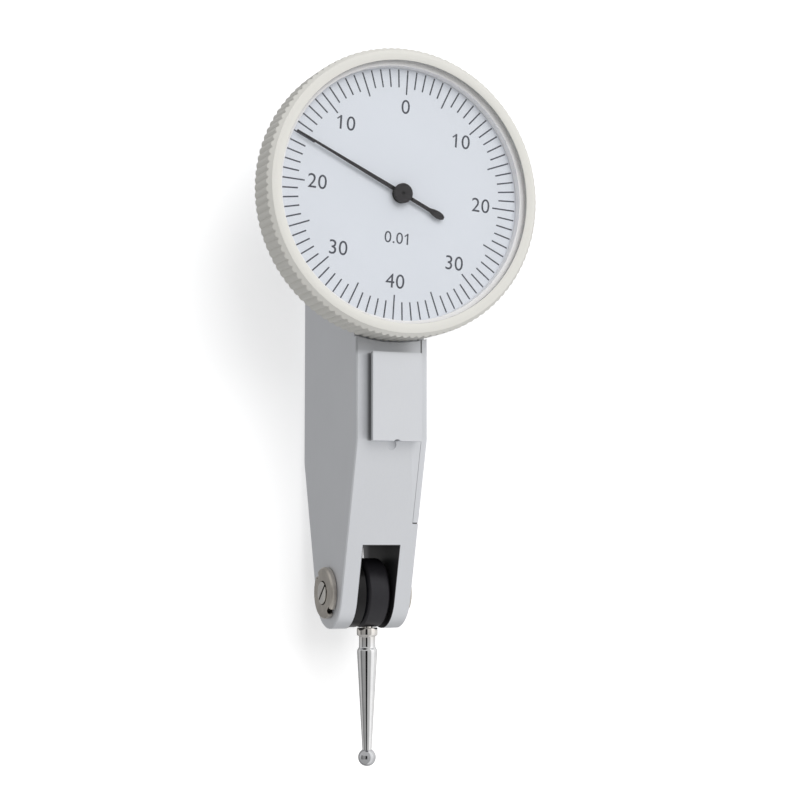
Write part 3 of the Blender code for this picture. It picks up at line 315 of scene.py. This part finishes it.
# The side cover closes the movement from the right. It is a stamped plate in the same satin chrome,
# let in flush, so that its seam hardly shows, and held by four slotted nickel screws. Its lower end
# is made a little longer, because the gap there is only a dark line.
cover_longer = 0.27 * mm
cover_foot = (-13.74 * mm, -13.68 * mm)
cover = merged_copy("side_cover", "cover")
pick("VERT", lambda vertex: vertex.co.z < cover_low.z + 0.01 * mm)
bpy.ops.transform.translate(value=(0, 0, -cover_longer))
finish(cover, 0.10 * mm, 3, keep=on_seam)
place_piece(cover, "root", "body_chrome", satin_chrome("satin_chrome_cover", foot=cover_foot), "side_cover")


def turned_metal(name, colour, rough, middle=None, sunk=None):
    """Turned metal with tool rings round a middle. sunk is (outer face, inner radius, outer radius).

    What lies deeper than the face between those radii, such as a slot, gets painted shade.
    """
    paint = Paint(name, {"Metallic": 1.0})
    cloud = paint.grain(900, 3.0)
    plate = paint.blend(cloud.step(0.3, 0.72), shade(colour, 0.90), shade(colour, 1.07))
    height = paint.grain(12000, 2.0)
    if middle:
        across, back, up = paint.axes(paint.place(move=[-part for part in middle]))
        out = (back * back + up * up) ** 0.5
        rings = out.maths("SINE", out * (2 * math.pi / (0.06 * mm)))
        height = 0.5 * height + 0.3 * rings
        face, inner, outer = sunk
        # Painted shade in the slots and notches.
        painted_hollow_shade = 1 - abs(across).step(face - 0.09 * mm, face - 0.05 * mm)
        painted_hollow_shade = painted_hollow_shade * out.between(inner, outer, 0.02 * mm)
        plate = paint.blend(0.92 * painted_hollow_shade, plate, tint(0.035, 0.030, 0.025))
    paint.feed("Base Color", plate)
    paint.feed("Roughness", rough + 0.12 * cloud)
    paint.emboss(height, 0.002 * mm, 0.5)
    return paint


def finished_copy(node, name, carrier, slot, paint, width, segments=2):
    """A merged copy of a CAD node gets rounded edges and stands for it."""
    piece = merged_copy(node, name)
    finish(piece, width, segments)
    place_piece(piece, carrier, slot, paint, node)


screw_nickel = turned_metal("nickel_screws", (0.55, 0.53, 0.50), 0.24)
for number in range(1, 5):
    name = f"slotted_screw_{number}"
    finished_copy(f"cover_screw_{number}", name, "root", "screw_nickel", screw_nickel, 0.03 * mm)


# The case behind the dial is a shallow satin chrome cup. Four steel screws hold it to the body, and
# a blued spring wire in its groove lets the bezel turn without coming off.
finished_copy("head_case", "dial_case", "root", "body_chrome", satin_chrome("satin_chrome_case"), 0.04 * mm)


def coat(paint, *names):
    """CAD nodes that keep their shape get a finish."""
    for name in names:
        nodes[name].data.materials.clear()
        nodes[name].data.materials.append(paint.material)


inner_steel = turned_metal("bright_steel", (0.48, 0.49, 0.51), 0.22)
spring_steel = turned_metal("blued_spring_steel", (0.22, 0.25, 0.33), 0.20)
coat(inner_steel, "case_screw_1", "case_screw_2", "case_screw_3", "case_screw_4")
coat(spring_steel, "snap_ring")


# The bezel is turned from brass, knurled straight with 120 rounded ribs for the fingers, chamfered in
# front and plated in a warm satin. Its flat lip holds the crystal. Its grooves and the lip's inner wall
# get painted shade, and its chamfer a painted highlight.
def turn_piece(name, axis, middle, rings, steps, closed=False):
    """A turned piece: a circle is extruded from ring to ring, each (place along the axis, radius)."""
    along = Vector([1.0 if letter == axis else 0.0 for letter in "XYZ"])
    turn = {"Y": (math.pi / 2, 0, 0), "Z": (0, 0, 0)}[axis]
    bpy.ops.object.select_all(action="DESELECT")
    place, radius = rings[0]
    spot = Vector(middle) + along * place
    bpy.ops.mesh.primitive_circle_add(vertices=steps, radius=radius, location=spot, rotation=turn)
    piece = bpy.context.object
    piece.name = name
    bpy.ops.object.transform_apply(location=True, rotation=True, scale=True)
    edit(piece)
    bpy.ops.mesh.select_all(action="SELECT")
    if not closed:
        bpy.ops.mesh.edge_face_add()
    for next_place, next_radius in rings[1:]:
        bpy.ops.mesh.extrude_region_move()
        bpy.ops.transform.translate(value=along * (next_place - place))
        spot = Vector(middle) + along * next_place
        size = next_radius / radius
        bpy.ops.transform.resize(value=(size, size, size), center_override=spot)
        place, radius = next_place, next_radius
    bpy.ops.mesh.select_all(action="SELECT")
    bpy.ops.mesh.remove_doubles(threshold=0.0005 * mm)
    bpy.ops.mesh.normals_make_consistent(inside=False)
    return piece


bezel_low, bezel_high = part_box("bezel")
dial_z = (bezel_low.z + bezel_high.z) / 2
dial_middle = Vector((0, 0, dial_z))
bezel_radius = (bezel_high.z - bezel_low.z) / 2
bezel_front, bezel_back = bezel_low.y, bezel_high.y
opening_radius = 14.5 * mm
lip_thickness = 0.33 * mm
lip_rounding = 0.02 * mm
lip_edge_radius = 15.55 * mm
bore_radius = 15.05 * mm
chamfer_drop = bezel_radius - lip_edge_radius
chamfer_length = 0.62 * mm
rear_chamfer = 0.30 * mm
front_rib = bezel_front + lip_rounding + chamfer_length
back_rib = bezel_back - rear_chamfer
bezel_rings = [
    (bezel_front + lip_thickness, opening_radius),
    (bezel_front + 0.06 * mm, opening_radius),
    (bezel_front + lip_rounding, opening_radius + 0.015 * mm),
    (bezel_front, opening_radius + 0.06 * mm),
    (bezel_front, lip_edge_radius - 0.08 * mm),
    (bezel_front + lip_rounding, lip_edge_radius),
    (front_rib, bezel_radius),
    (back_rib, bezel_radius),
    (bezel_back, bezel_radius - rear_chamfer),
    (bezel_back, bore_radius + 0.08 * mm),
    (bezel_back - 0.08 * mm, bore_radius),
    (bezel_front + lip_thickness, bore_radius),
    (bezel_front + lip_thickness, opening_radius),
]
rib_count = 120
groove_depth = 0.18 * mm
groove_shares = (0.0, 0.04, 0.24, 0.72, 1.0, 0.72, 0.24, 0.04)
columns = len(groove_shares) * rib_count
bezel = turn_piece("knurled_bezel", "Y", dial_middle, bezel_rings, columns, closed=True)
for number, share in enumerate(groove_shares):
    for place, slope in ((front_rib, -chamfer_length / chamfer_drop), (back_rib, 1.0)):

        def in_column(vertex):
            if abs(vertex.co.y - place) > 0.001 * mm:
                return False
            turn = math.atan2(vertex.co.x, vertex.co.z - dial_z) / (2 * math.pi) * columns
            return round(turn) % len(groove_shares) == number

        pick("VERT", in_column)
        size = 1 - share * groove_depth / bezel_radius
        bpy.ops.transform.resize(value=(size, 1, size), center_override=dial_middle)
        bpy.ops.transform.translate(value=(0, slope * share * groove_depth, 0))
finish(bezel, angle=25.0)


def warm_plate(name, ribs=False):
    """The bezel's warm satin plate, with painted shade in the grooves and on the lip's inner wall and a
    painted highlight on the chamfer, or the spacer's.
    """
    paint = Paint(name, {"Metallic": 0.25 if ribs else 0.0, "IOR": 1.5})
    colour = (0.80, 0.79, 0.745)
    cloud = paint.grain(420, 3.0)
    speck = paint.grain(11000, 2.0)
    plate = paint.blend(0.6 * cloud + 0.4 * speck, shade(colour, 0.97), shade(colour, 1.02))
    across, back, height = paint.axes(paint.place(move=(0, 0, -dial_z)))
    out = (across * across + height * height) ** 0.5
    if ribs:
        # Painted shade at the bottom of the grooves.
        painted_hollow_shade = out.between(lip_edge_radius + 0.12 * mm, bezel_radius - 0.12 * mm, 0.08 * mm)
        plate = paint.blend(0.08 * painted_hollow_shade, plate, shade(colour, 0.60))
        # A painted highlight on the front chamfer.
        painted_chamfer_highlight = out.step(lip_edge_radius, lip_edge_radius + 0.04 * mm)
        painted_chamfer_highlight = painted_chamfer_highlight * (1 - back.step(front_rib, front_rib + 0.2 * mm))
        plate = paint.blend(painted_chamfer_highlight, plate, shade(colour, 1.10))
        # Painted shade on the lip's inner wall.
        painted_lip_wall_shade = 1 - out.step(opening_radius + 0.005 * mm, opening_radius + 0.02 * mm)
        plate = paint.blend(painted_lip_wall_shade, plate, tint(0.42, 0.42, 0.41))
    else:
        plate = paint.blend(cloud, tint(0.93, 0.92, 0.92), tint(0.96, 0.95, 0.95))
    paint.feed("Base Color", plate)
    paint.feed("Roughness", 0.42 + 0.06 * cloud)
    tool_rings = out.maths("SINE", out * (2 * math.pi / (0.05 * mm)))
    paint.emboss(0.2 * tool_rings + 0.8 * speck, 0.002 * mm, 0.5)
    return paint


place_piece(bezel, "bezel_unit", "bezel_ivory", warm_plate("warm_satin_plate", ribs=True), "bezel")


# The crystal is a flat disc of clear acrylic, pressed under the lip. A plated spacer ring keeps it
# clear of the pointer.
crystal_paint = Paint("clear_acrylic", {"Base Color": tint(1, 1, 1), "IOR": 1.45})
smear = crystal_paint.grain(180, 3.0)
crystal_paint.feed("Roughness", 0.02 + 0.05 * smear.step(0.45, 0.75))
clear = crystal_paint.node("ShaderNodeBsdfTransparent", {}, {"Color": tint(1, 1, 1)})
gloss = crystal_paint.node("ShaderNodeFresnel", {}, {"IOR": 1.45})
shiny = Wire(crystal_paint, crystal_paint.shader.outputs[0])
crystal_paint.show(crystal_paint.join(0.35 * gloss, clear, shiny))
coat(crystal_paint, "crystal")
spacer_plate = warm_plate("spacer_plate")
finished_copy("crystal_spacer", "spacer_ring", "bezel_unit", "bezel_ivory", spacer_plate, 0.02 * mm)


# The dial is a brass disc in fine bluish white enamel, with 80 divisions and numbers printed on it
# in dark grey. It is glued to the bezel and turns with it, and stands a little turned to the right.
enamel = Paint("white_enamel", {"IOR": 1.45})
cloud = enamel.grain(60, 2.0)
speck = enamel.grain(7000, 2.0)
white = enamel.blend(cloud.step(0.3, 0.7), tint(0.72, 0.75, 0.80), tint(0.735, 0.765, 0.815))
enamel.feed("Base Color", white)
enamel.feed("Roughness", 0.45 + 0.12 * speck)
enamel.emboss(speck, 0.002 * mm, 0.4)
coat(enamel, "dial_plate")

ink = Paint("dark_grey_ink", {"IOR": 1.45})
press = ink.grain(5200, 3.0)
ink.feed("Base Color", ink.blend(press.step(0.35, 0.75), tint(0.052, 0.056, 0.072), tint(0.095, 0.10, 0.12)))
ink.feed("Roughness", 0.45 + 0.2 * press)
ink.emboss(press, 0.001 * mm, 0.4)

dial_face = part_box("dial_plate")[0].y
ink_depth = 0.012 * mm
dial_turn = math.radians(3.7)
divisions = 80
division = 2 * math.pi / divisions
tick_outer = 13.95 * mm
long_tick = 2.75 * mm
short_tick = 2.0 * mm
tick_width = 0.16 * mm


def dial_spot(radius, turn, lift=0.0):
    """A place on the dial, from its middle and clockwise from its zero."""
    angle = dial_turn + turn
    return (radius * math.sin(angle), dial_face - lift, dial_z + radius * math.cos(angle))


prints = []
tick_kinds = (("long_ticks", long_tick, 0, 1), ("short_ticks", short_tick, division, 4))
for name, length, turn, copies in tick_kinds:
    bpy.ops.object.select_all(action="DESELECT")
    spot = dial_spot(tick_outer - length / 2, turn, ink_depth / 2)
    bpy.ops.mesh.primitive_cube_add(size=1, location=spot, rotation=(0, dial_turn + turn, 0))
    ticks = bpy.context.object
    ticks.name = name
    ticks.scale = (tick_width, ink_depth, length)
    bpy.ops.object.transform_apply(location=True, rotation=True, scale=True)
    edit(ticks)
    bpy.ops.mesh.select_all(action="SELECT")
    if copies > 1:
        bpy.ops.mesh.spin(steps=copies - 1, dupli=True, angle=division * (copies - 1), center=dial_middle,
                          axis=(0, -1, 0))
        bpy.ops.mesh.select_all(action="SELECT")
    groups = divisions // 5
    bpy.ops.mesh.spin(steps=groups - 1, dupli=True, angle=5 * division * (groups - 1), center=dial_middle,
                      axis=(0, -1, 0))
    bpy.ops.mesh.select_all(action="SELECT")
    bpy.ops.mesh.normals_make_consistent(inside=False)
    bpy.ops.object.mode_set(mode="OBJECT")
    prints.append(ticks)


def add_flag(letters, size, bar_at_left):
    """The 1 of a number, a plain bar in this font, gets the short flag at its top."""
    flag_size = (0.23 * size, 0.065 * size, ink_depth)
    flag_tilt = math.radians(38)
    edit(letters)
    places = [vertex.co.copy() for vertex in bmesh.from_edit_mesh(letters.data).verts]
    ends = [place.x for place in places]
    bar_end = min(ends) if bar_at_left else max(ends)
    bar = [place for place in places if abs(place.x - bar_end) < 0.14 * size]
    left = min(place.x for place in bar)
    top = max(place.y for place in bar)
    spot = (left - 0.055 * size, top - 0.120 * size, 0)
    bpy.ops.mesh.primitive_cube_add(size=1, location=spot, rotation=(0, 0, flag_tilt), scale=flag_size)
    bpy.ops.object.mode_set(mode="OBJECT")


number_radius = 9.75 * mm
number_size = 2.25 * mm
numbers = [(text, number_radius, place * math.pi / 4, number_size)
           for place, text in enumerate(("0", "10", "20", "30", "40", "30", "20", "10"))]
numbers.append(("0.01", 4.95 * mm, math.pi, 1.80 * mm))
for text, radius, turn, size in numbers:
    bpy.ops.object.select_all(action="DESELECT")
    bpy.ops.object.text_add()
    letters = bpy.context.object
    letters.data.body = text
    letters.data.size = size
    letters.data.align_x = "CENTER"
    letters.data.align_y = "CENTER"
    letters.data.extrude = ink_depth / 2
    letters.data.space_character = 1.05
    bpy.ops.object.convert(target="MESH")
    letters = bpy.context.object
    if "1" in text:
        add_flag(letters, size, text.startswith("1"))
    letters.location = dial_spot(radius, turn)
    letters.rotation_euler = (math.pi / 2, dial_turn, 0)
    bpy.ops.object.transform_apply(location=True, rotation=True, scale=True)
    prints.append(letters)
bpy.ops.object.select_all(action="DESELECT")
for piece in prints:
    piece.select_set(True)
bpy.context.view_layer.objects.active = prints[0]
bpy.ops.object.join()
dial_print = bpy.context.object
dial_print.name = "dial_print"
place_piece(dial_print, "bezel_unit", "pointer_black", ink)


# The pointer is cut from thin steel sheet: a long needle that narrows to its tip, and a short tail
# with a leaf at its end. It is staked to a round boss with a centre punch, and both are black. The
# punch mark and the boss's rim are painted darker and shinier as shade.
boss_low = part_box("pointer_boss")[0]
pointer_black = Paint("black_enamel", {"IOR": 1.33})
cloud = pointer_black.grain(2600, 3.0)
dark = pointer_black.blend(cloud.step(0.3, 0.7), tint(0.018, 0.016, 0.018), tint(0.028, 0.026, 0.028))
across, back, height = pointer_black.axes(pointer_black.place(move=(0, 0, -dial_z)))
out = (across * across + height * height) ** 0.5
punch_edge = (0.10 * mm, 0.16 * mm)
boss_edge = (1.3 * mm, 1.4 * mm)
boss_rim = (boss_low.y + 0.05 * mm, boss_low.y + 0.12 * mm)
# Painted shade in the punch mark and on the boss's rim.
punched = 1 - out.step(*punch_edge)
rim = (1 - out.step(*boss_edge)) * back.step(*boss_rim)
painted_hollow_shade = 1 - (1 - punched) * (1 - rim)
pointer_black.feed("Metallic", 0.9 * painted_hollow_shade)
dark = pointer_black.blend(0.9 * painted_hollow_shade, dark, tint(0.002, 0.002, 0.002))
pointer_black.feed("Base Color", dark)
pointer_black.feed("Roughness", 0.50 + 0.15 * cloud)
pointer_black.emboss(pointer_black.grain(14000, 2.0), 0.002 * mm, 0.5)
needle = merged_copy("pointer", "needle")
needle_low, needle_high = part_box("pointer")
thickness = needle_high.y - needle_low.y
wider = 0.045 * mm
bpy.ops.mesh.select_all(action="SELECT")
bpy.ops.transform.shrink_fatten(value=wider)
flat = thickness / (thickness + 2 * wider)
bpy.ops.transform.resize(value=(1, flat, 1), center_override=(needle_low + needle_high) / 2)
finish(needle, 0.02 * mm)
place_piece(needle, "centre_unit", "pointer_black", pointer_black, "pointer")
finished_copy("pointer_boss", "boss", "centre_unit", "pointer_black", pointer_black, 0.04 * mm, 3)


# The lever and the stylus hub turn between two pivot screws, each locked by a nickel ring nut with
# two notches for a spanner. Both are blackened steel, with a dished spring washer between them.
black_oxide = Paint("black_oxide", {"Metallic": 0.5, "IOR": 1.5})
cloud = black_oxide.grain(1500, 3.0)
speck = black_oxide.grain(13000, 2.0)
dark = black_oxide.blend(0.6 * cloud + 0.4 * speck, tint(0.022, 0.021, 0.025), tint(0.034, 0.033, 0.038))
black_oxide.feed("Base Color", dark)
black_oxide.feed("Roughness", 0.36 + 0.12 * cloud)
black_oxide.emboss(speck, 0.003 * mm, 0.5)
deep_black = Paint("deep_black_oxide", {"Metallic": 0.5, "IOR": 1.5})
cloud = deep_black.grain(1500, 3.0)
deep_black.feed("Base Color", deep_black.blend(cloud, tint(0.006, 0.006, 0.007), tint(0.014, 0.013, 0.013)))
deep_black.feed("Roughness", 0.26 + 0.10 * cloud)
deep_black.emboss(deep_black.grain(13000, 2.0), 0.003 * mm, 0.5)
finished_copy("stylus_hub", "hub_drum", "stylus_unit", "black_oxide", black_oxide, 0.06 * mm, 3)
finished_copy("contact_lever", "lever", "lever_unit", "black_oxide", deep_black, 0.06 * mm, 3)
coat(inner_steel, "drive_pin")
coat(spring_steel, "clutch_washer")
nut_low, nut_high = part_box("lock_nut_left")
pivot = Vector((0, (nut_low.y + nut_high.y) / 2, (nut_low.z + nut_high.z) / 2))
# The notches of the ring nuts and the slots of the pivot screws get painted shade.
notches = (-nut_low.x, 2.20 * mm, 2.68 * mm)
nut_nickel = turned_metal("nickel_lock_nuts", (0.57, 0.535, 0.485), 0.26, pivot, notches)
slots = (-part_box("pivot_screw_left")[0].x, -0.1 * mm, 5.0 * mm)
pivot_nickel = turned_metal("nickel_pivot_screws", (0.82, 0.80, 0.76), 0.28, pivot, slots)
for side in ("left", "right"):
    finished_copy("lock_nut_" + side, "ring_nut_" + side, "root", "screw_nickel", nut_nickel, 0.05 * mm, 3)
    finished_copy("pivot_screw_" + side, "pivot_" + side, "root", "screw_nickel", pivot_nickel, 0.03 * mm)


# The stylus is ground from one steel rod and polished: a thread in the hub, a collar, a waist for
# the spanner, a soft shoulder and a long taper. Its ball of lapped carbide is brazed on.
def close_end(height, middle):
    """The ring of vertices left open at a turned piece's lower end gets a face."""
    open_radius = 0.2 * mm

    def at_end(vertex):
        out = math.hypot(vertex.co.x - middle.x, vertex.co.y - middle.y)
        return vertex.co.z < height and out < open_radius

    pick("VERT", at_end)
    bpy.ops.mesh.edge_face_add()


stylus_low, stylus_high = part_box("stylus")
stylus_middle = (stylus_low + stylus_high) / 2
stylus_middle.z = pivot.z
stylus_rings = [
    (-2.26 * mm, 0.55 * mm), (-2.31 * mm, 0.60 * mm), (-3.96 * mm, 0.60 * mm), (-3.96 * mm, 1.12 * mm),
    (-3.98 * mm, 1.16 * mm), (-4.02 * mm, 1.18 * mm), (-4.72 * mm, 1.18 * mm), (-4.80 * mm, 1.16 * mm),
    (-4.86 * mm, 1.10 * mm), (-4.89 * mm, 1.00 * mm), (-4.95 * mm, 0.94 * mm), (-5.05 * mm, 0.92 * mm),
    (-6.02 * mm, 0.92 * mm), (-6.16 * mm, 0.94 * mm), (-6.28 * mm, 1.00 * mm), (-6.38 * mm, 1.08 * mm),
    (-6.47 * mm, 1.12 * mm), (-6.60 * mm, 1.143 * mm), (-6.80 * mm, 1.138 * mm), (-17.40 * mm, 0.538 * mm),
    (-17.52 * mm, 0.52 * mm), (-17.90 * mm, 0.52 * mm), (-17.90 * mm, 0.02 * mm),
]
stylus = turn_piece("stylus_stem", "Z", stylus_middle, stylus_rings, 96)
close_end(pivot.z - 17.8 * mm, stylus_middle)
finish(stylus, angle=40.0)
polished = Paint("polished_chrome", {"Metallic": 1.0})
ground = polished.grain(1.0, 2.0, where=polished.place(scale=(7000, 7000, 260)))
cloud = polished.grain(600, 2.0)
# A warm painted reflection on the stylus near the hub.
painted_reflection_near_hub = polished.axes()[2].step(pivot.z - 6.2 * mm, pivot.z - 4.0 * mm)
bright = polished.blend(cloud.step(0.3, 0.7), tint(0.74, 0.74, 0.745), tint(0.80, 0.80, 0.80))
polished.feed("Base Color", polished.blend(0.7 * painted_reflection_near_hub, bright, tint(0.70, 0.655, 0.60)))
polished.feed("Roughness", 0.035 + 0.04 * ground)
polished.emboss(ground, 0.0008 * mm, 0.4)
place_piece(stylus, "stylus_unit", "stylus_chrome", polished, "stylus")

ball_middle = -18.49 * mm
ball_radius = 1.0 * mm
ball_steps = 28
neck_radius = 0.56 * mm
brim = math.asin(neck_radius / ball_radius)
ball_rings = [(ball_middle + neck_radius, neck_radius - 0.02 * mm)]
for step in range(ball_steps):
    turn = brim + (math.pi - brim) * step / ball_steps
    ball_rings.append((ball_middle + ball_radius * math.cos(turn), ball_radius * math.sin(turn)))
ball = turn_piece("contact_ball", "Z", stylus_middle, ball_rings, 64)
close_end(pivot.z + ball_rings[-1][0] + 0.001 * mm, stylus_middle)
finish(ball, angle=50.0)
carbide = turned_metal("lapped_carbide", (0.62, 0.625, 0.64), 0.07)
place_piece(ball, "stylus_unit", "carbide", carbide, "stylus_ball")


# The movement is hidden in the body: a brass sector and crown wheel on steel arbors, the centre
# pinion with its hairspring, a bridge on two posts, the centre cock, and seven jewels.
brass = turned_metal("gear_brass", (0.72, 0.54, 0.26), 0.24)
coat(brass, "sector_gear", "crown_gear", "hairspring_collet", "hairspring_stud", "centre_cock",
     "movement_bridge", "bridge_post_1", "bridge_post_2")
coat(inner_steel, "sector_arbor", "crown_arbor", "crown_pinion", "centre_arbor", "centre_pinion",
     "bridge_screw_1", "bridge_screw_2", "cock_screw")
coat(spring_steel, "hairspring")
ruby = Paint("red_jewel", {"IOR": 1.76})
veil = ruby.grain(3000, 3.0)
ruby.feed("Base Color", ruby.blend(veil.step(0.3, 0.7), tint(0.42, 0.01, 0.05), tint(0.62, 0.03, 0.10)))
ruby.feed("Roughness", 0.06 + 0.08 * veil)
coat(ruby, *(node for node in nodes if "jewel" in node or node == "centre_end_stone"))


# The studio: the object lies on its back on a plain pale floor, which only the camera sees and only
# from in front. One large soft lamp shines from the upper right, and the room is pale all round. The
# paper glows a little, which keeps it white beside the shadow; below the fork the glow is cut, a painted
# shadow.
floor_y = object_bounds()[1].y + 0.05 * mm
bpy.ops.object.select_all(action="DESELECT")
bpy.ops.mesh.primitive_plane_add(size=1.6, location=(0, floor_y, 0), rotation=(math.pi / 2, 0, 0))
floor = bpy.context.object
floor.name = "pale_floor"
bpy.ops.object.transform_apply(location=True, rotation=True, scale=True)
floor.visible_diffuse = False
floor.visible_glossy = False
floor.visible_transmission = False
floor.visible_shadow = False
paper = Paint("pale_paper", {"Roughness": 0.9, "Specular IOR Level": 0.0, "Emission Strength": 1.0})
fibre = paper.grain(2500, 2.0)
paper.feed("Base Color", paper.blend(fibre, tint(0.88, 0.88, 0.88), tint(0.92, 0.92, 0.92)))
across, _, height = paper.axes()
# A painted shadow on the floor below the fork, where the glow is cut.
painted_shadow_below_fork = across.between(3.2 * mm, 4.4 * mm, 0.3 * mm) * height.between(-20 * mm, -15.5 * mm, 0.5 * mm)
paper.feed("Emission Color", 0.41 * (1 - 0.95 * painted_shadow_below_fork))
lit = Wire(paper, paper.shader.outputs[0])
gone = paper.node("ShaderNodeBsdfTransparent", {}, {"Color": tint(1, 1, 1)})
behind = paper.node("ShaderNodeNewGeometry", output="Backfacing")
paper.show(paper.join(behind, lit, gone))
floor.data.materials.append(paper.material)

lamp = bpy.data.lights.new("soft_lamp", "AREA")
lamp.size = 0.52
lamp.energy = 2.55
lamp_object = bpy.data.objects.new("soft_lamp", lamp)
bpy.context.scene.collection.objects.link(lamp_object)
lamp_object.location = (0.08, -0.64, 0.34)
lamp_object.rotation_euler = (-lamp_object.location).to_track_quat("-Z", "Y").to_euler()
lamp_object.visible_glossy = False

world = bpy.data.worlds.new("studio")
bpy.context.scene.world = world
room = Paint("studio", {}, world)
direction = room.node("ShaderNodeTexCoord", output="Generated")
toward = room.node("ShaderNodeSeparateXYZ", {}, {"Vector": direction}, "all")
turn = toward["X"].maths("ARCTAN2", toward["X"], 0 - toward["Y"])
level = abs(toward["Z"]).step(0.45, 0.30)


def span(first, last, edge):
    """1 between two directions round the object, in degrees to the right of its front."""
    return turn.between(math.radians(first), math.radians(last), math.radians(edge))


# What the metal mirrors: a pale room, brighter to the right, darker behind and at two places to the left.
tone = 0.62 + 0.60 * span(28, 72, 6) + 0.34 * span(72, 120, 8) - 0.27 * span(-178, -140, 8)
tone = tone * (1 - 0.98 * level * span(-41, -16, 3))
tone = tone * (1 - 0.38 * level * span(-104, -45, 4))
tone = tone * (1 - 0.45 * level * span(-102, -82, 4))
tone = tone * (0.88 + 0.16 * toward["Z"].step(-0.5, 0.4))
rays = room.node("ShaderNodeLightPath", output="all")
seen = room.node("ShaderNodeBackground", {}, {"Color": tint(1, 1, 1), "Strength": 1.0})
facing = abs(toward["Y"]).step(0.50, 0.95)
soft = room.node("ShaderNodeBackground", {}, {"Color": 0.41 + 0.34 * facing, "Strength": 1.0})
mirrored = room.node("ShaderNodeBackground", {}, {"Color": tone, "Strength": 1.0})
room.show(room.join(rays["Is Camera Ray"], room.join(rays["Is Glossy Ray"], soft, mirrored), seen))

camera_data = bpy.data.cameras.new("camera")
camera = bpy.data.objects.new("camera", camera_data)
bpy.context.scene.collection.objects.link(camera)
bpy.context.scene.camera = camera
camera_turn = math.radians(-22.8)
camera_rise = math.radians(-4.546)
camera_distance = 202.914 * mm
target = Vector((0.906 * mm, 1.5 * mm, -0.26 * mm))
away = Vector((math.sin(camera_turn) * math.cos(camera_rise),
               -math.cos(camera_turn) * math.cos(camera_rise),
               math.sin(camera_rise)))
camera.location = target + away * camera_distance
camera.rotation_euler = (-away).to_track_quat("-Z", "Y").to_euler()
camera_data.sensor_width = 36.0
camera_data.lens = 82.8
camera_data.clip_start = 0.01
camera_data.clip_end = 20.0
bpy.context.scene.view_settings.view_transform = "Standard"
